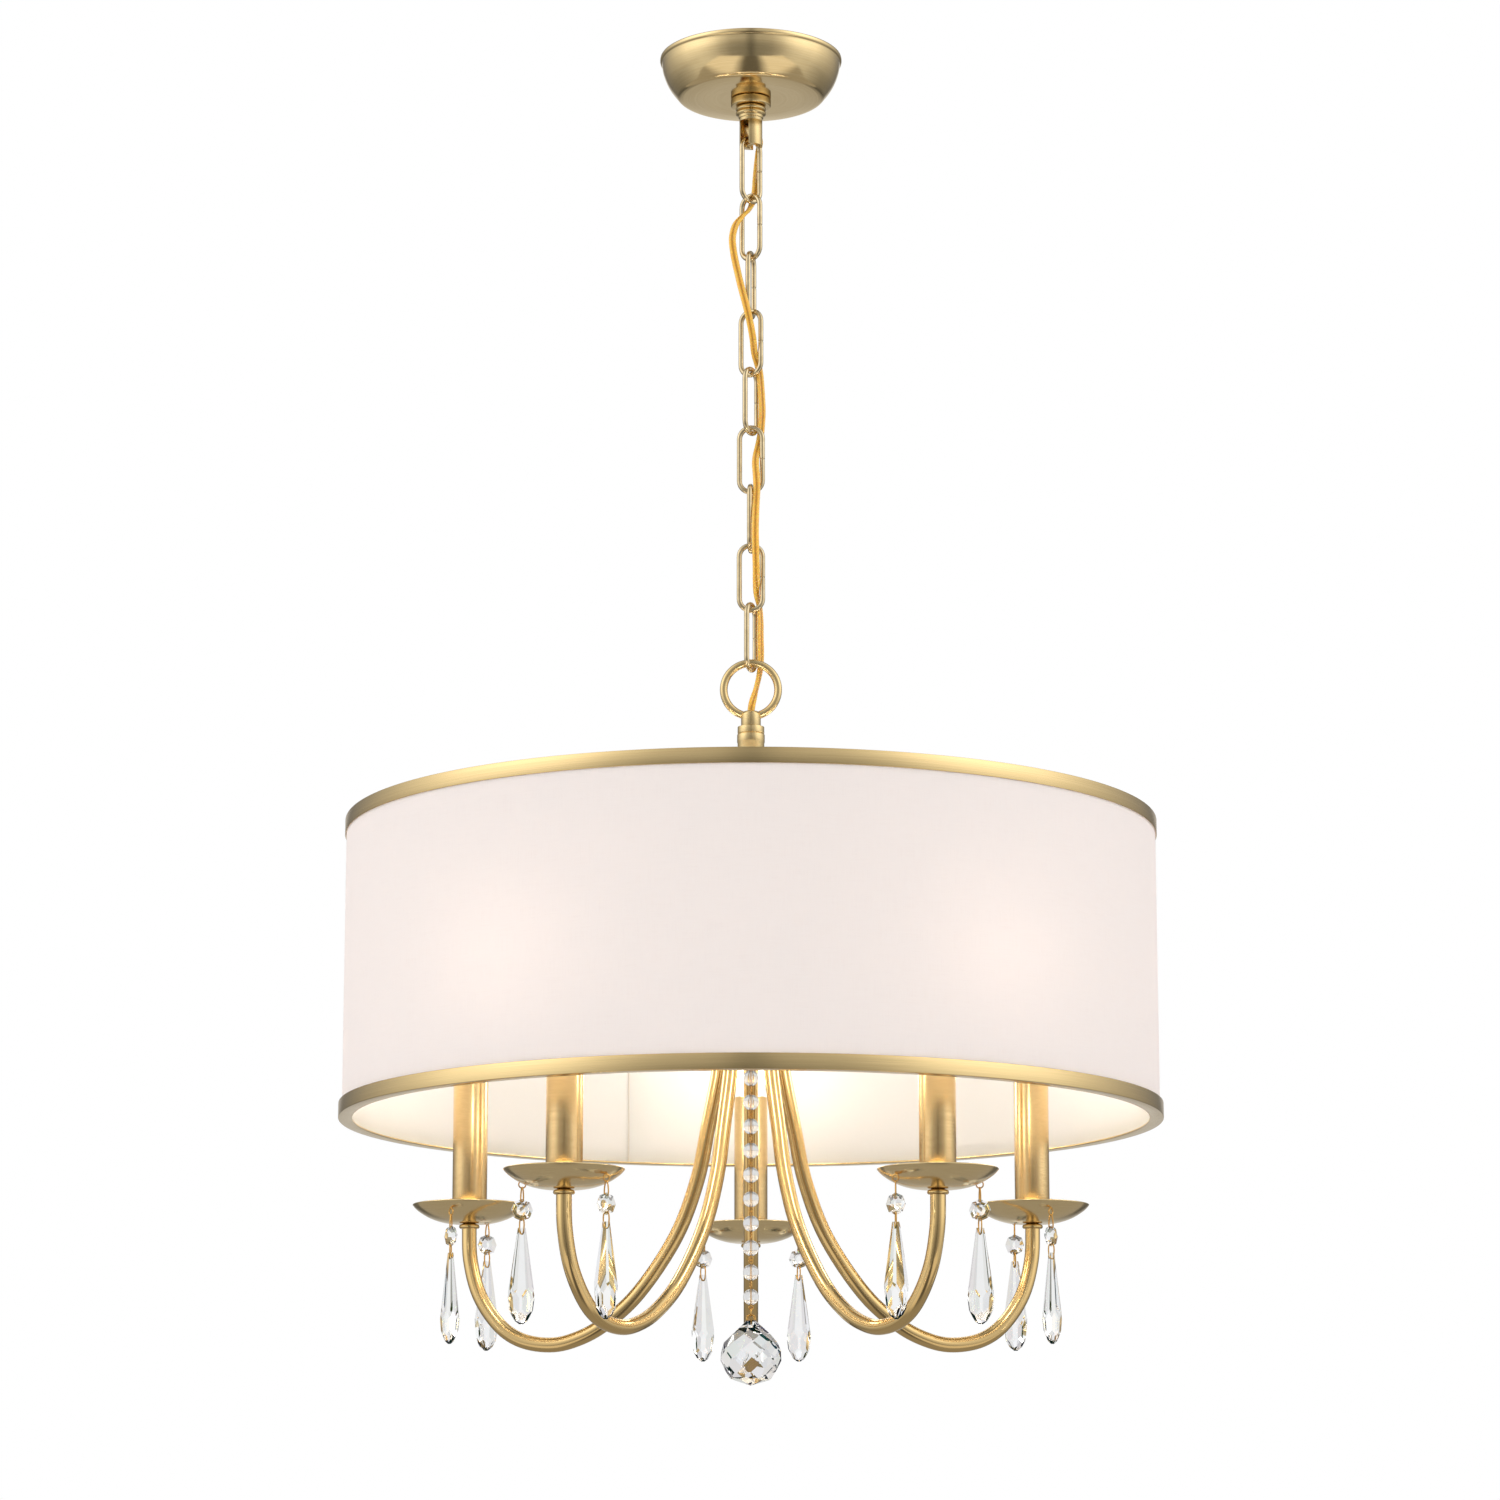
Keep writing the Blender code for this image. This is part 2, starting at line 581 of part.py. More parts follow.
def spaced(points, spacing):
    """Points at an even spacing along a line through the given points."""
    travelled = [0.0]
    for before, after in zip(points, points[1:]):
        travelled.append(travelled[-1] + (after - before).length)
    count = round(travelled[-1] / spacing)
    found, here = [], 0
    for number in range(count + 1):
        wanted = travelled[-1] * number / count
        while here < len(points) - 2 and travelled[here + 1] < wanted:
            here += 1
        share = (wanted - travelled[here]) / (travelled[here + 1] - travelled[here])
        found.append(points[here].lerp(points[here + 1], share))
    return found


def make_cord():
    line = spaced(smooth(CORD_ROUTE, 6), CORD_SPACING)
    add("lamp_cord", wire_mesh(line, CORD_RADIUS), "cord_amber")


def make_ring_and_cap(carrier):
    """The ring's two ends sit in sockets in the sides of the cap."""
    inner = CAP_RADIUS - CAP_SOCKET_DEPTH
    opening = math.asin((inner + GAP) / RING_RADIUS)
    cut_opening = math.asin(inner / RING_RADIUS)
    ring = ring_points(
        RING_RADIUS, (0, 0, Z_RING), 25, start=math.pi + opening, sweep=math.tau - 2 * opening
    )
    add("lifting_ring", wire_mesh(ring, RING_WIRE_RADIUS), "satin_brass", carrier=carrier)

    thread = STEM_RADIUS + GAP
    hole_top = Z_CAP_END + CAP_GRIP
    bore = CORD_RADIUS + CORD_PLAY
    cap = turned_mesh([
        (bore, Z_CAP_TOP), (CAP_RADIUS - 2 * CAP_EDGE, Z_CAP_TOP),
        (CAP_RADIUS - CAP_EDGE / 2, Z_CAP_TOP - CAP_EDGE / 2), (CAP_RADIUS, Z_CAP_TOP - CAP_EDGE),
        (CAP_RADIUS, Z_CAP_END), (thread, Z_CAP_END), (thread, hole_top), (bore, hole_top),
    ], 20)
    cuts = []
    for side in (1, -1):
        start = math.pi + side * cut_opening
        arc = ring_points(RING_RADIUS, (0, 0, Z_RING), 6, start=start, sweep=side * cut_opening * 2)
        cuts.append(wire_mesh(arc, RING_WIRE_RADIUS + GAP))
    add("ring_cap", combined(cap, cuts, "DIFFERENCE"), "satin_brass", carrier=carrier)


def make_collar_and_stem(carrier):
    bore = STEM_RADIUS + GAP
    head_end = Z_COLLAR_TOP - COLLAR_HEAD_HEIGHT
    band_top = head_end - COLLAR_GROOVE_HEIGHT
    band_end = band_top - COLLAR_BAND_HEIGHT
    add("cap_collar", turned_mesh([
        (COLLAR_RADIUS - COLLAR_EDGE, Z_COLLAR_TOP), (COLLAR_RADIUS, Z_COLLAR_TOP - COLLAR_EDGE),
        (COLLAR_RADIUS, head_end), (COLLAR_GROOVE_RADIUS, head_end),
        (COLLAR_GROOVE_RADIUS, band_top), (COLLAR_BAND_RADIUS, band_top),
        (COLLAR_BAND_RADIUS, band_end), (COLLAR_RADIUS, band_end - COLLAR_GROOVE_HEIGHT),
        (COLLAR_RADIUS, Z_COLLAR_END), (bore, Z_COLLAR_END), (bore, Z_COLLAR_TOP),
    ], 20), "satin_brass", carrier=carrier)

    top = Z_CAP_END + CAP_GRIP - GAP
    nut_top = Z_WASHER_END - GAP
    nut_end = nut_top - STEM_NUT_HEIGHT
    add("stem", turned_mesh([
        (STEM_RADIUS, top), (STEM_RADIUS, nut_top), (STEM_NUT_RADIUS, nut_top),
        (STEM_NUT_RADIUS, nut_end), (STEM_RADIUS, nut_end), (STEM_RADIUS, Z_STEM_END),
        (STEM_BORE, Z_STEM_END), (STEM_BORE, top),
    ], 14), "zinc_steel", carrier=carrier)


def make_shade(carrier):
    """The top band, its flange, three spokes and the middle washer are one welded frame."""
    inner = SHADE_RADIUS + GAP
    top_outer = inner + TOP_BAND_WALL
    flange_edge = top_outer - TOP_FLANGE_WIDTH
    band = turned_mesh([
        (top_outer, Z_SHADE_TOP), (top_outer, Z_SHADE_TOP - BAND_HEIGHT),
        (inner, Z_SHADE_TOP - BAND_HEIGHT), (inner, Z_SHADE_TOP - FLANGE_THICKNESS),
        (flange_edge, Z_SHADE_TOP - FLANGE_THICKNESS), (flange_edge, Z_SHADE_TOP),
    ], SHADE_STEPS)
    stem_hole = STEM_RADIUS + GAP
    washer = turned_mesh([
        (WASHER_RADIUS, Z_WASHER_TOP), (WASHER_RADIUS, Z_WASHER_END),
        (stem_hole, Z_WASHER_END), (stem_hole, Z_WASHER_TOP),
    ], 18)
    level = (Z_WASHER_TOP + Z_WASHER_END) / 2
    high = Z_SHADE_TOP - FLANGE_THICKNESS / 2 - SPOKE_RADIUS
    tip = flange_edge + SPOKE_RADIUS
    line = [
        (0, (WASHER_RADIUS + stem_hole) / 2, level), (0, flange_edge - SPOKE_RISE, level),
        (0, flange_edge - SPOKE_RADIUS, high), (0, tip, high),
    ]
    spoke = wire_mesh(line, SPOKE_RADIUS)
    spokes = [moved(spoke, turn=math.tau * n / SPOKE_COUNT) for n in range(SPOKE_COUNT)]
    add("shade_frame", combined(band, [washer] + spokes, "UNION"), "satin_brass", carrier=carrier)

    cloth_top = Z_SHADE_TOP - FLANGE_THICKNESS - GAP
    cloth_end = Z_SHADE_END + FLANGE_THICKNESS + GAP
    cloth_inner = SHADE_RADIUS - CLOTH_THICKNESS
    add("shade_drum", turned_mesh([
        (SHADE_RADIUS, cloth_top), (SHADE_RADIUS, cloth_end),
        (cloth_inner, cloth_end), (cloth_inner, cloth_top),
    ], SHADE_STEPS), "white_cloth", carrier=carrier)

    outer = inner + BOTTOM_BAND_WALL
    edge = outer - BOTTOM_FLANGE_WIDTH
    add("bottom_band", turned_mesh([
        (outer, Z_SHADE_END + BAND_HEIGHT), (outer, Z_SHADE_END), (edge, Z_SHADE_END),
        (edge, Z_SHADE_END + FLANGE_THICKNESS), (inner, Z_SHADE_END + FLANGE_THICKNESS),
        (inner, Z_SHADE_END + BAND_HEIGHT),
    ], SHADE_STEPS), "satin_brass", carrier=carrier)


def arm_angle(number):
    """The first arm points straight back, along +Y, and the others follow round."""
    return math.pi / 2 + math.tau * number / ARM_COUNT


def make_hub(carrier):
    reach = HUB_RADIUS - HUB_TOP_RADIUS
    bore = STEM_RADIUS + GAP
    floor = Z_STEM_END - GAP
    side = [(HUB_TOP_RADIUS + out * reach, Z_HUB_TOP - down * HUB_HEIGHT) for out, down in HUB_SHARES]
    body = turned_mesh([(0, floor), (bore, floor), (bore, Z_HUB_TOP)] + side + [(0, Z_HUB_END)], 22)
    socket = drum_mesh(ARM_TUBE_RADIUS + GAP, Z_HUB_END + ARM_GRIP + GAP, Z_HUB_END - OVERRUN, 12)
    sockets = []
    for number in range(ARM_COUNT):
        angle = arm_angle(number)
        place = (ARM_ROOT_RADIUS * math.cos(angle), ARM_ROOT_RADIUS * math.sin(angle), 0)
        sockets.append(moved(socket, place))
    body = combined(body, sockets, "DIFFERENCE")
    eye = wire_mesh(
        ring_points(HUB_EYE_RADIUS, (0, 0, Z_HUB_END - HUB_EYE_RADIUS), 12, turn=math.pi / 2),
        HUB_EYE_WIRE, closed=True, detail=1,
    )
    add("hub", combined(body, [eye], "UNION"), "satin_brass", carrier=carrier)


def arm_mesh():
    """One arm in the XZ plane: its root in the hub, the swept tube, the ferrule and the thin tip."""
    run = ARM_REACH - ARM_ROOT_RADIUS
    bow = [
        (ARM_ROOT_RADIUS + out * run, 0, Z_HUB_END - down * ARM_DEPTH)
        for out, down in ARM_ROUTE_SHARES
    ]
    points = [(ARM_ROOT_RADIUS, 0, Z_HUB_END + ARM_GRIP)] + bow
    swells = [1.0] * len(points)
    ferrule = FERRULE_RADIUS / ARM_TUBE_RADIUS
    tip = ARM_TIP_RADIUS / ARM_TUBE_RADIUS
    for height, swell in (
        (Z_ARM_END + STEP_RUN, ferrule), (Z_FERRULE_TOP - STEP_RUN, ferrule),
        (Z_FERRULE_TOP, tip), (Z_FERRULE_TOP + ARM_TIP_LENGTH, tip),
    ):
        points.append((ARM_REACH, 0, height))
        swells.append(swell)
    return wire_mesh(points, ARM_TUBE_RADIUS, swells=swells)


def dish_mesh():
    """A shallow bowl with a hole for the arm's tip and two for the pendants' pins."""
    outline = [(radius, -depth) for radius, depth in DISH_OUTLINE]
    outline.append((ARM_TIP_RADIUS + GAP, -DISH_DEPTH))
    bowl = shell_mesh(outline, DISH_STEPS, DISH_WALL)
    hole = drum_mesh(PENDANT_HOLE_RADIUS, OVERRUN, -DISH_DEPTH, 8)
    holes = [moved(hole, (0, side * PENDANT_OFFSET, 0)) for side in (-1, 1)]
    return combined(bowl, holes, "DIFFERENCE")


def holder_mesh():
    cup = SLEEVE_RADIUS - SLEEVE_WALL - GAP
    bore = BULB_BASE_RADIUS + GAP
    thread = ARM_TIP_RADIUS + GAP
    cup_end = Z_HOLDER_TOP - HOLDER_CUP_LENGTH
    floor = Z_HOLDER_TOP - HOLDER_BORE_DEPTH
    return turned_mesh([
        (cup, Z_HOLDER_TOP), (cup, cup_end), (HOLDER_NECK_RADIUS, cup_end - HOLDER_CONE_LENGTH),
        (HOLDER_NECK_RADIUS, Z_HOLDER_END), (thread, Z_HOLDER_END), (thread, floor),
        (bore, floor), (bore, Z_HOLDER_TOP),
    ], 12)


def bulb_mesh():
    neck = Z_BULB_END + BULB_BASE_LENGTH
    reach = BULB_RADIUS - BULB_BASE_RADIUS
    glass = [
        (BULB_BASE_RADIUS + out * reach, neck + up * BULB_GLASS_LENGTH)
        for out, up in reversed(BULB_SHARES)
    ]
    tip = [(0, neck + BULB_GLASS_LENGTH)]
    return turned_mesh(tip + glass + [(BULB_BASE_RADIUS, Z_BULB_END), (0, Z_BULB_END)], 12)


def pendant_mesh():
    """A ball-headed pin, an octagon bead and a long drop, measured from the pin's hole."""
    head, rise, pin = PENDANT_HEAD_RADIUS, PENDANT_HEAD_RISE, PENDANT_PIN_RADIUS
    end = -DROP_START - PENDANT_HEAD_RADIUS
    wire = turned_mesh([
        (0, rise + head), (head * math.sin(math.pi / 4), rise + head * math.cos(math.pi / 4)),
        (head, rise), (pin, rise - head), (pin, end), (0, end),
    ], 6)
    half = OCTAGON_THICKNESS / 2
    bead = turned_mesh([
        (0, half), (OCTAGON_TABLE_RADIUS, half), (OCTAGON_RADIUS, 0),
        (OCTAGON_TABLE_RADIUS, -half), (0, -half),
    ], 8)
    bead.transform(Matrix.Rotation(math.pi / 8, 4, "Z"))
    bead.transform(Matrix.Translation((0, 0, -OCTAGON_DROP)) @ Matrix.Rotation(math.pi / 2, 4, "Y"))
    width = DROP_WIDTH / 2
    side = [(width * out, -DROP_START - DROP_LENGTH * down) for out, down in DROP_SHARES]
    drop = turned_mesh([(0, -DROP_START)] + side + [(0, -DROP_START - DROP_LENGTH)], 8)
    drop.transform(Matrix.Diagonal((DROP_THICKNESS / DROP_WIDTH, 1, 1, 1)))
    return combined(wire, [bead, drop], "UNION")


def make_lights(carrier):
    """Five arms, each with its dish, candle sleeve, lamp holder, bulb and two pendants."""
    arm, dish, holder, bulb = arm_mesh(), dish_mesh(), holder_mesh(), bulb_mesh()
    inner = SLEEVE_RADIUS - SLEEVE_WALL
    sleeve = turned_mesh([
        (SLEEVE_RADIUS, Z_SLEEVE_TOP), (SLEEVE_RADIUS, Z_SLEEVE_END),
        (inner, Z_SLEEVE_END), (inner, Z_SLEEVE_TOP),
    ], 18)
    pendant = pendant_mesh()
    for number in range(ARM_COUNT):
        angle = arm_angle(number)
        tag = "_%d" % (number + 1)
        centre = Vector((math.cos(angle), math.sin(angle), 0)) * ARM_REACH
        tangent = Vector((-math.sin(angle), math.cos(angle), 0))
        add("arm" + tag, arm.copy(), "satin_brass", turn=angle, carrier=carrier)
        add("dish" + tag, dish.copy(), "satin_brass",
            centre + Vector((0, 0, Z_DISH_RIM)), angle, carrier)
        add("candle_sleeve" + tag, sleeve.copy(), "satin_brass", centre, angle, carrier)
        add("lamp_holder" + tag, holder.copy(), "holder_plastic", centre, angle, carrier)
        add("bulb" + tag, bulb.copy(), "bulb_glass", centre, angle, carrier)
        for side, letter in ((-1, "a"), (1, "b")):
            place = centre + tangent * (side * PENDANT_OFFSET) + Vector((0, 0, Z_PENDANT))
            twist = PENDANT_TWISTS[2 * number + (side + 1) // 2]
            add("pendant" + tag + letter, pendant.copy(), "crystal",
                place, math.radians(twist) - math.pi / 2, carrier)


def make_strand(carrier):
    """Beads on pins, with a wire eye at each end. Its pivot is the eye under the hub."""
    swing = pivot("strand_pivot", Z_STRAND, carrier)
    shape = [(0, Z_STRAND_EYE - EYE_RADIUS), (STRAND_PIN_RADIUS, Z_STRAND_EYE - EYE_RADIUS)]
    ends = math.asin(STRAND_PIN_RADIUS / BEAD_RADIUS)
    arc_steps = 4
    for number in range(BEAD_COUNT):
        centre = Z_FIRST_BEAD - number * BEAD_PITCH
        for step in range(arc_steps + 1):
            angle = ends + (math.pi - 2 * ends) * step / arc_steps
            shape.append((BEAD_RADIUS * math.sin(angle), centre + BEAD_RADIUS * math.cos(angle)))
    low = Z_TAIL_EYE + EYE_RADIUS
    shape += [(STRAND_PIN_RADIUS, low), (0, low)]
    eye_top = ring_points(EYE_RADIUS, (0, 0, Z_STRAND_EYE), 10)
    eye_low = ring_points(EYE_RADIUS, (0, 0, Z_TAIL_EYE), 10, turn=math.pi / 2)
    eyes = [wire_mesh(points, EYE_WIRE, closed=True, detail=1) for points in (eye_top, eye_low)]
    strand = combined(turned_mesh(shape, 7), eyes, "UNION")
    made = add("bead_strand", strand, "crystal")
    made.parent = swing
    made.matrix_parent_inverse = Matrix.Translation((0, 0, -Z_STRAND))

    hang = pivot("ball_pivot", Z_BALL_SWING)
    work = bmesh.new()
    bmesh.ops.create_uvsphere(work, u_segments=12, v_segments=8, radius=BALL_RADIUS)
    bmesh.ops.translate(work, vec=(0, 0, Z_BALL), verts=work.verts)
    ball = bpy.data.meshes.new("ball")
    work.to_mesh(ball)
    work.free()
    nipple = drum_mesh(BALL_NIPPLE_RADIUS, Z_BALL + BALL_RADIUS + BALL_NIPPLE_HEIGHT, Z_BALL, 10)
    eye = wire_mesh(ring_points(EYE_RADIUS, (0, 0, Z_BALL_EYE), 10), EYE_WIRE, closed=True, detail=1)
    add("crystal_ball", combined(ball, [nipple, eye], "UNION"), "crystal", carrier=hang)


clear_scene()
PIECES = new_collection("chandelier")
CUTTERS = new_collection("cutters")
make_ceiling_plate()
make_canopy()
make_canopy_loop()
make_chain()
make_cord()
fixture = pivot("fixture_pivot", Z_SWING)
make_ring_and_cap(fixture)
make_collar_and_stem(fixture)
make_shade(fixture)
make_hub(fixture)
make_lights(fixture)
make_strand(fixture)
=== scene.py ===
# %% [markdown]
# # A five-light drum chandelier, dressed in Blender
#
# The solid model gives every piece its place and its size. This lesson gives each piece the
# smooth surface and the finish of the real lamp: spun brass, bent tube, stretched cloth, cut
# crystal and a clear lamp cord. Everything is in metres, and the middle of the ceiling plane
# is the origin, so the whole lamp hangs below zero.

# %% Start from the solid model
import math

import bmesh
import bpy
from mathutils import Matrix, Vector


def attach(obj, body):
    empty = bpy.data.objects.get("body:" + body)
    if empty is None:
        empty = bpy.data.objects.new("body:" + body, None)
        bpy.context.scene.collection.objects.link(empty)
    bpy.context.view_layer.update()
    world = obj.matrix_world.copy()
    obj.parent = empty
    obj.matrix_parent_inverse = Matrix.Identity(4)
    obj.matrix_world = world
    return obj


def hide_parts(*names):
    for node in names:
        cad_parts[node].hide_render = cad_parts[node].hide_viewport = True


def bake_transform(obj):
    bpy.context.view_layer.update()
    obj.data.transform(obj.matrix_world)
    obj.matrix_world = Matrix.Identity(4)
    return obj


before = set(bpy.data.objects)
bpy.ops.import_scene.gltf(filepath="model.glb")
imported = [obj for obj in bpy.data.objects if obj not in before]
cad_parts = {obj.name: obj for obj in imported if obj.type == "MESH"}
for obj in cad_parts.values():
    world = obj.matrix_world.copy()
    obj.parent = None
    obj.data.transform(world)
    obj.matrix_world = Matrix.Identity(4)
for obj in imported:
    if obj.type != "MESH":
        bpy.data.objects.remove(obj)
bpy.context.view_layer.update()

# %% [markdown]
# ## Camera
#
# The photograph looks slightly up at the lamp from about three metres away, with a long lens, so
# the lower edge of the shade shows as an ellipse and its inside can be seen. The camera stands a
# little below the crystal ball and is tilted up by the angle that the two brass bands' ellipses
# give.

# %% Camera
camera_data = bpy.data.cameras.new("camera")
camera_data.lens = 112.3
camera = bpy.data.objects.new("camera", camera_data)
camera.location = (-0.0006, -2.945, -1.0576)
camera.rotation_euler = (math.radians(90 + 11.353), 0, 0)
bpy.context.collection.objects.link(camera)
bpy.context.scene.camera = camera
bpy.context.scene.view_settings.view_transform = "Standard"
print("camera", round(camera.location.length, 2), "m from the ceiling plate")

# %% [markdown]
# ## Small helpers
#
# A shape that is turned on a lathe or spun over a former is a profile turned round an axis, which
# is the spin operator. A bent wire or tube is one circle, extruded from point to point. Those two
# and a block cut by planes make nearly everything here. The sizes in the cells below are in
# millimetres, as a workshop drawing has them, and the helpers turn them into metres.
#
# Each vertex also gets a small vector called "lay", which says where it is along and across the
# brushing: radius and height on a turned part, the place round the tube on a bent one. The brass
# uses it to draw hair-thin lines that run the right way on every part.

# %% A profile turned round an axis
def spun(profile, steps=96, closed=True):
    """The profile is a list of (radius, height). A closed one makes a ring with a hole."""
    work = bmesh.new()
    lay = work.verts.layers.float_vector.new("lay")
    verts = [work.verts.new((radius / 1000, 0, height / 1000)) for radius, height in profile]
    edges = [work.edges.new(pair) for pair in zip(verts, verts[1:])]
    if closed:
        edges.append(work.edges.new((verts[-1], verts[0])))
    bmesh.ops.spin(work, geom=verts + edges, cent=(0, 0, 0), axis=(0, 0, 1),
                   angle=math.tau, steps=steps, use_merge=True)
    bmesh.ops.remove_doubles(work, verts=work.verts, dist=2e-6)
    bmesh.ops.recalc_face_normals(work, faces=work.faces)
    for vert in work.verts:
        out = math.hypot(vert.co.x, vert.co.y)
        vert[lay] = (out, vert.co.z, 0.002 * vert.co.x / (out or 1.0))
    return work


# %% Rounded edges wherever two faces meet at more than a given angle
def soften(work, width, angle=30, segments=2):
    sharp = [edge for edge in work.edges
             if len(edge.link_faces) == 2 and edge.calc_face_angle(0) > math.radians(angle)]
    bmesh.ops.bevel(work, geom=sharp, offset=width / 1000, offset_type="OFFSET",
                    segments=segments, profile=0.5, affect="EDGES", clamp_overlap=True,
                    material=-1)
    return work


# %% A circle swept along a line of points
def swept(points, radius, sides=16, closed=False, radii=None, wide=None, section=None):
    """Wide gives the direction of the section's first point. Section reshapes the circle."""
    work = bmesh.new()
    lay = work.verts.layers.float_vector.new("lay")
    points = [Vector(point) / 1000 for point in points]
    last = len(points) - 1
    ring = bmesh.ops.create_circle(work, segments=sides, radius=1.0)["verts"]
    shape = [section(math.tau * n / sides) if section else vert.co.copy()
             for n, vert in enumerate(ring)]
    around = [(n, (n + 1) % sides) for n in range(sides)]
    first = edges = [work.edges.get((ring[a], ring[b])) for a, b in around]
    across, travelled = None, 0.0
    for number, point in enumerate(points):
        if number:
            grown = bmesh.ops.extrude_edge_only(work, edges=edges)["geom"]
            new = {part for part in grown if isinstance(part, bmesh.types.BMVert)}
            ring = [next(edge.other_vert(vert) for edge in vert.link_edges
                         if edge.other_vert(vert) in new) for vert in ring]
            edges = [work.edges.get((ring[a], ring[b])) for a, b in around]
            travelled += (point - points[number - 1]).length
        if closed:
            ahead = (points[(number + 1) % len(points)] - points[number - 1]).normalized()
        else:
            ahead = (points[min(number + 1, last)] - points[max(number - 1, 0)]).normalized()
        if wide:
            across = Vector(wide(number))
        elif across is None:
            across = ahead.orthogonal()
        across = (across - ahead * across.dot(ahead)).normalized()
        turn = Matrix((across, ahead.cross(across), ahead)).transposed()
        size = radius / 1000 * (radii[number] if radii else 1.0)
        for place, (vert, corner) in enumerate(zip(ring, shape)):
            vert.co = point + turn @ (corner * size)
            angle = math.tau * place / sides
            vert[lay] = (math.cos(angle) * radius / 1000, math.sin(angle) * radius / 1000,
                         travelled * 0.012)
    if closed:
        bmesh.ops.bridge_loops(work, edges=first + edges)
    else:
        bmesh.ops.holes_fill(work, edges=first + edges, sides=0)
    bmesh.ops.recalc_face_normals(work, faces=work.faces)
    return work


# %% A smooth line through given points, and a circle's points
def smooth(route, steps):
    """A curve that passes through every point, with this many steps between two of them."""
    ends = [route[0]] + list(route) + [route[-1]]
    found = []
    for number in range(1, len(ends) - 2):
        before, here, there, after = (Vector(ends[number + k]) for k in (-1, 0, 1, 2))
        for step in range(steps):
            t = step / steps
            found.append(here + (there - before) * (t / 2)
                         + (before * 2 - here * 5 + there * 4 - after) * (t * t / 2)
                         + (here * 3 - before - there * 3 + after) * (t * t * t / 2))
    return found + [Vector(route[-1])]


def circle(radius, centre, count, turn=0.0, start=0.0, sweep=math.tau):
    """Points of an upright circle in millimetres. Turn swings its plane round Z."""
    steps = count if sweep == math.tau else count - 1
    found = []
    for number in range(count):
        angle = start + sweep * number / steps
        side = radius * math.sin(angle)
        found.append(Vector(centre) + Vector((side * math.cos(turn), side * math.sin(turn),
                                              radius * math.cos(angle))))
    return found


# %% Joining shapes, and moving them
def joined(*shapes):
    """All the shapes in one bmesh."""
    whole = bmesh.new()
    for shape in shapes:
        mesh = bpy.data.meshes.new("part")
        shape.to_mesh(mesh)
        shape.free()
        whole.from_mesh(mesh)
        bpy.data.meshes.remove(mesh)
    return whole


def moved(shape, place=(0, 0, 0), turn=0.0, axis="Z"):
    """A copy of the shape, turned round an axis and then moved, in millimetres."""
    copy = shape.copy()
    where = Matrix.Translation(Vector(place) / 1000) @ Matrix.Rotation(turn, 4, axis)
    bmesh.ops.transform(copy, verts=copy.verts, matrix=where)
    return copy


# %% Turning a shape into a finished piece
def piece(name, shape, finish, body, nodes=(), sharp=38):
    """A finished piece: it lies at the origin, rides on its body and stands for its nodes."""
    mesh = bpy.data.meshes.new(name)
    shape.to_mesh(mesh)
    shape.free()
    mesh.materials.append(finish)
    if sharp:
        mesh.shade_smooth()
        mesh.set_sharp_from_angle(angle=math.radians(sharp))
    thing = bpy.data.objects.new(name, mesh)
    bpy.context.collection.objects.link(thing)
    if body:
        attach(thing, body)
    if nodes:
        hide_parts(*nodes)
    return thing


# %% [markdown]
# ## How a finish is described
#
# Each finish is one Principled shader. Its colours are written as the hex values that a picture
# editor shows, and one function turns them into the linear values that Blender mixes. Another
# function adds a node, sets it up and links it, so that a recipe reads as a list.

# %% Colours and nodes
def linear(code):
    """The linear value of a colour such as #D2B476."""
    parts = [int(code[at:at + 2], 16) / 255 for at in (1, 3, 5)]
    return tuple(part / 12.92 if part <= 0.04045 else ((part + 0.055) / 1.055) ** 2.4
                 for part in parts) + (1.0,)


def add_node(tree, kind, settings=(), links=()):
    """Settings are attributes or input values by name. Links are (input, node, output)."""
    node = tree.nodes.new(kind)
    for key, value in dict(settings).items():
        if isinstance(key, str) and hasattr(node, key):
            setattr(node, key, value)
        else:
            node.inputs[key].default_value = value
    for socket, source, output in links:
        tree.links.new(source.outputs[output], node.inputs[socket])
    return node


def new_finish(name, settings):
    """A material with one Principled shader, and the tree and shader to build on."""
    made = bpy.data.materials.new(name)
    made.use_nodes = True
    shader = made.node_tree.nodes["Principled BSDF"]
    for key, value in settings.items():
        shader.inputs[key].default_value = value
    return made, made.node_tree, shader


def ramp(tree, source, output, stops):
    """A colour ramp through (position, colour) stops."""
    node = add_node(tree, "ShaderNodeValToRGB", links=[(0, source, output)])
    while len(node.color_ramp.elements) < len(stops):
        node.color_ramp.elements.new(0.5)
    for element, (position, colour) in zip(node.color_ramp.elements, stops):
        element.position = position
        element.color = colour
    return node


# %% [markdown]
# ## Satin brass
#
# The real brass parts are spun or bent from steel, plated and then brushed with a fine belt before
# the lacquer. Brushing leaves hair-thin lines that run round a turned part and along a tube, so
# the highlights stretch across the lines. The lines are about 0.1 mm wide, too fine for this
# picture, so they are drawn a few times wider and shallow. The same recipe serves turned parts
# and tubes, because each vertex's lay says which way the belt went.

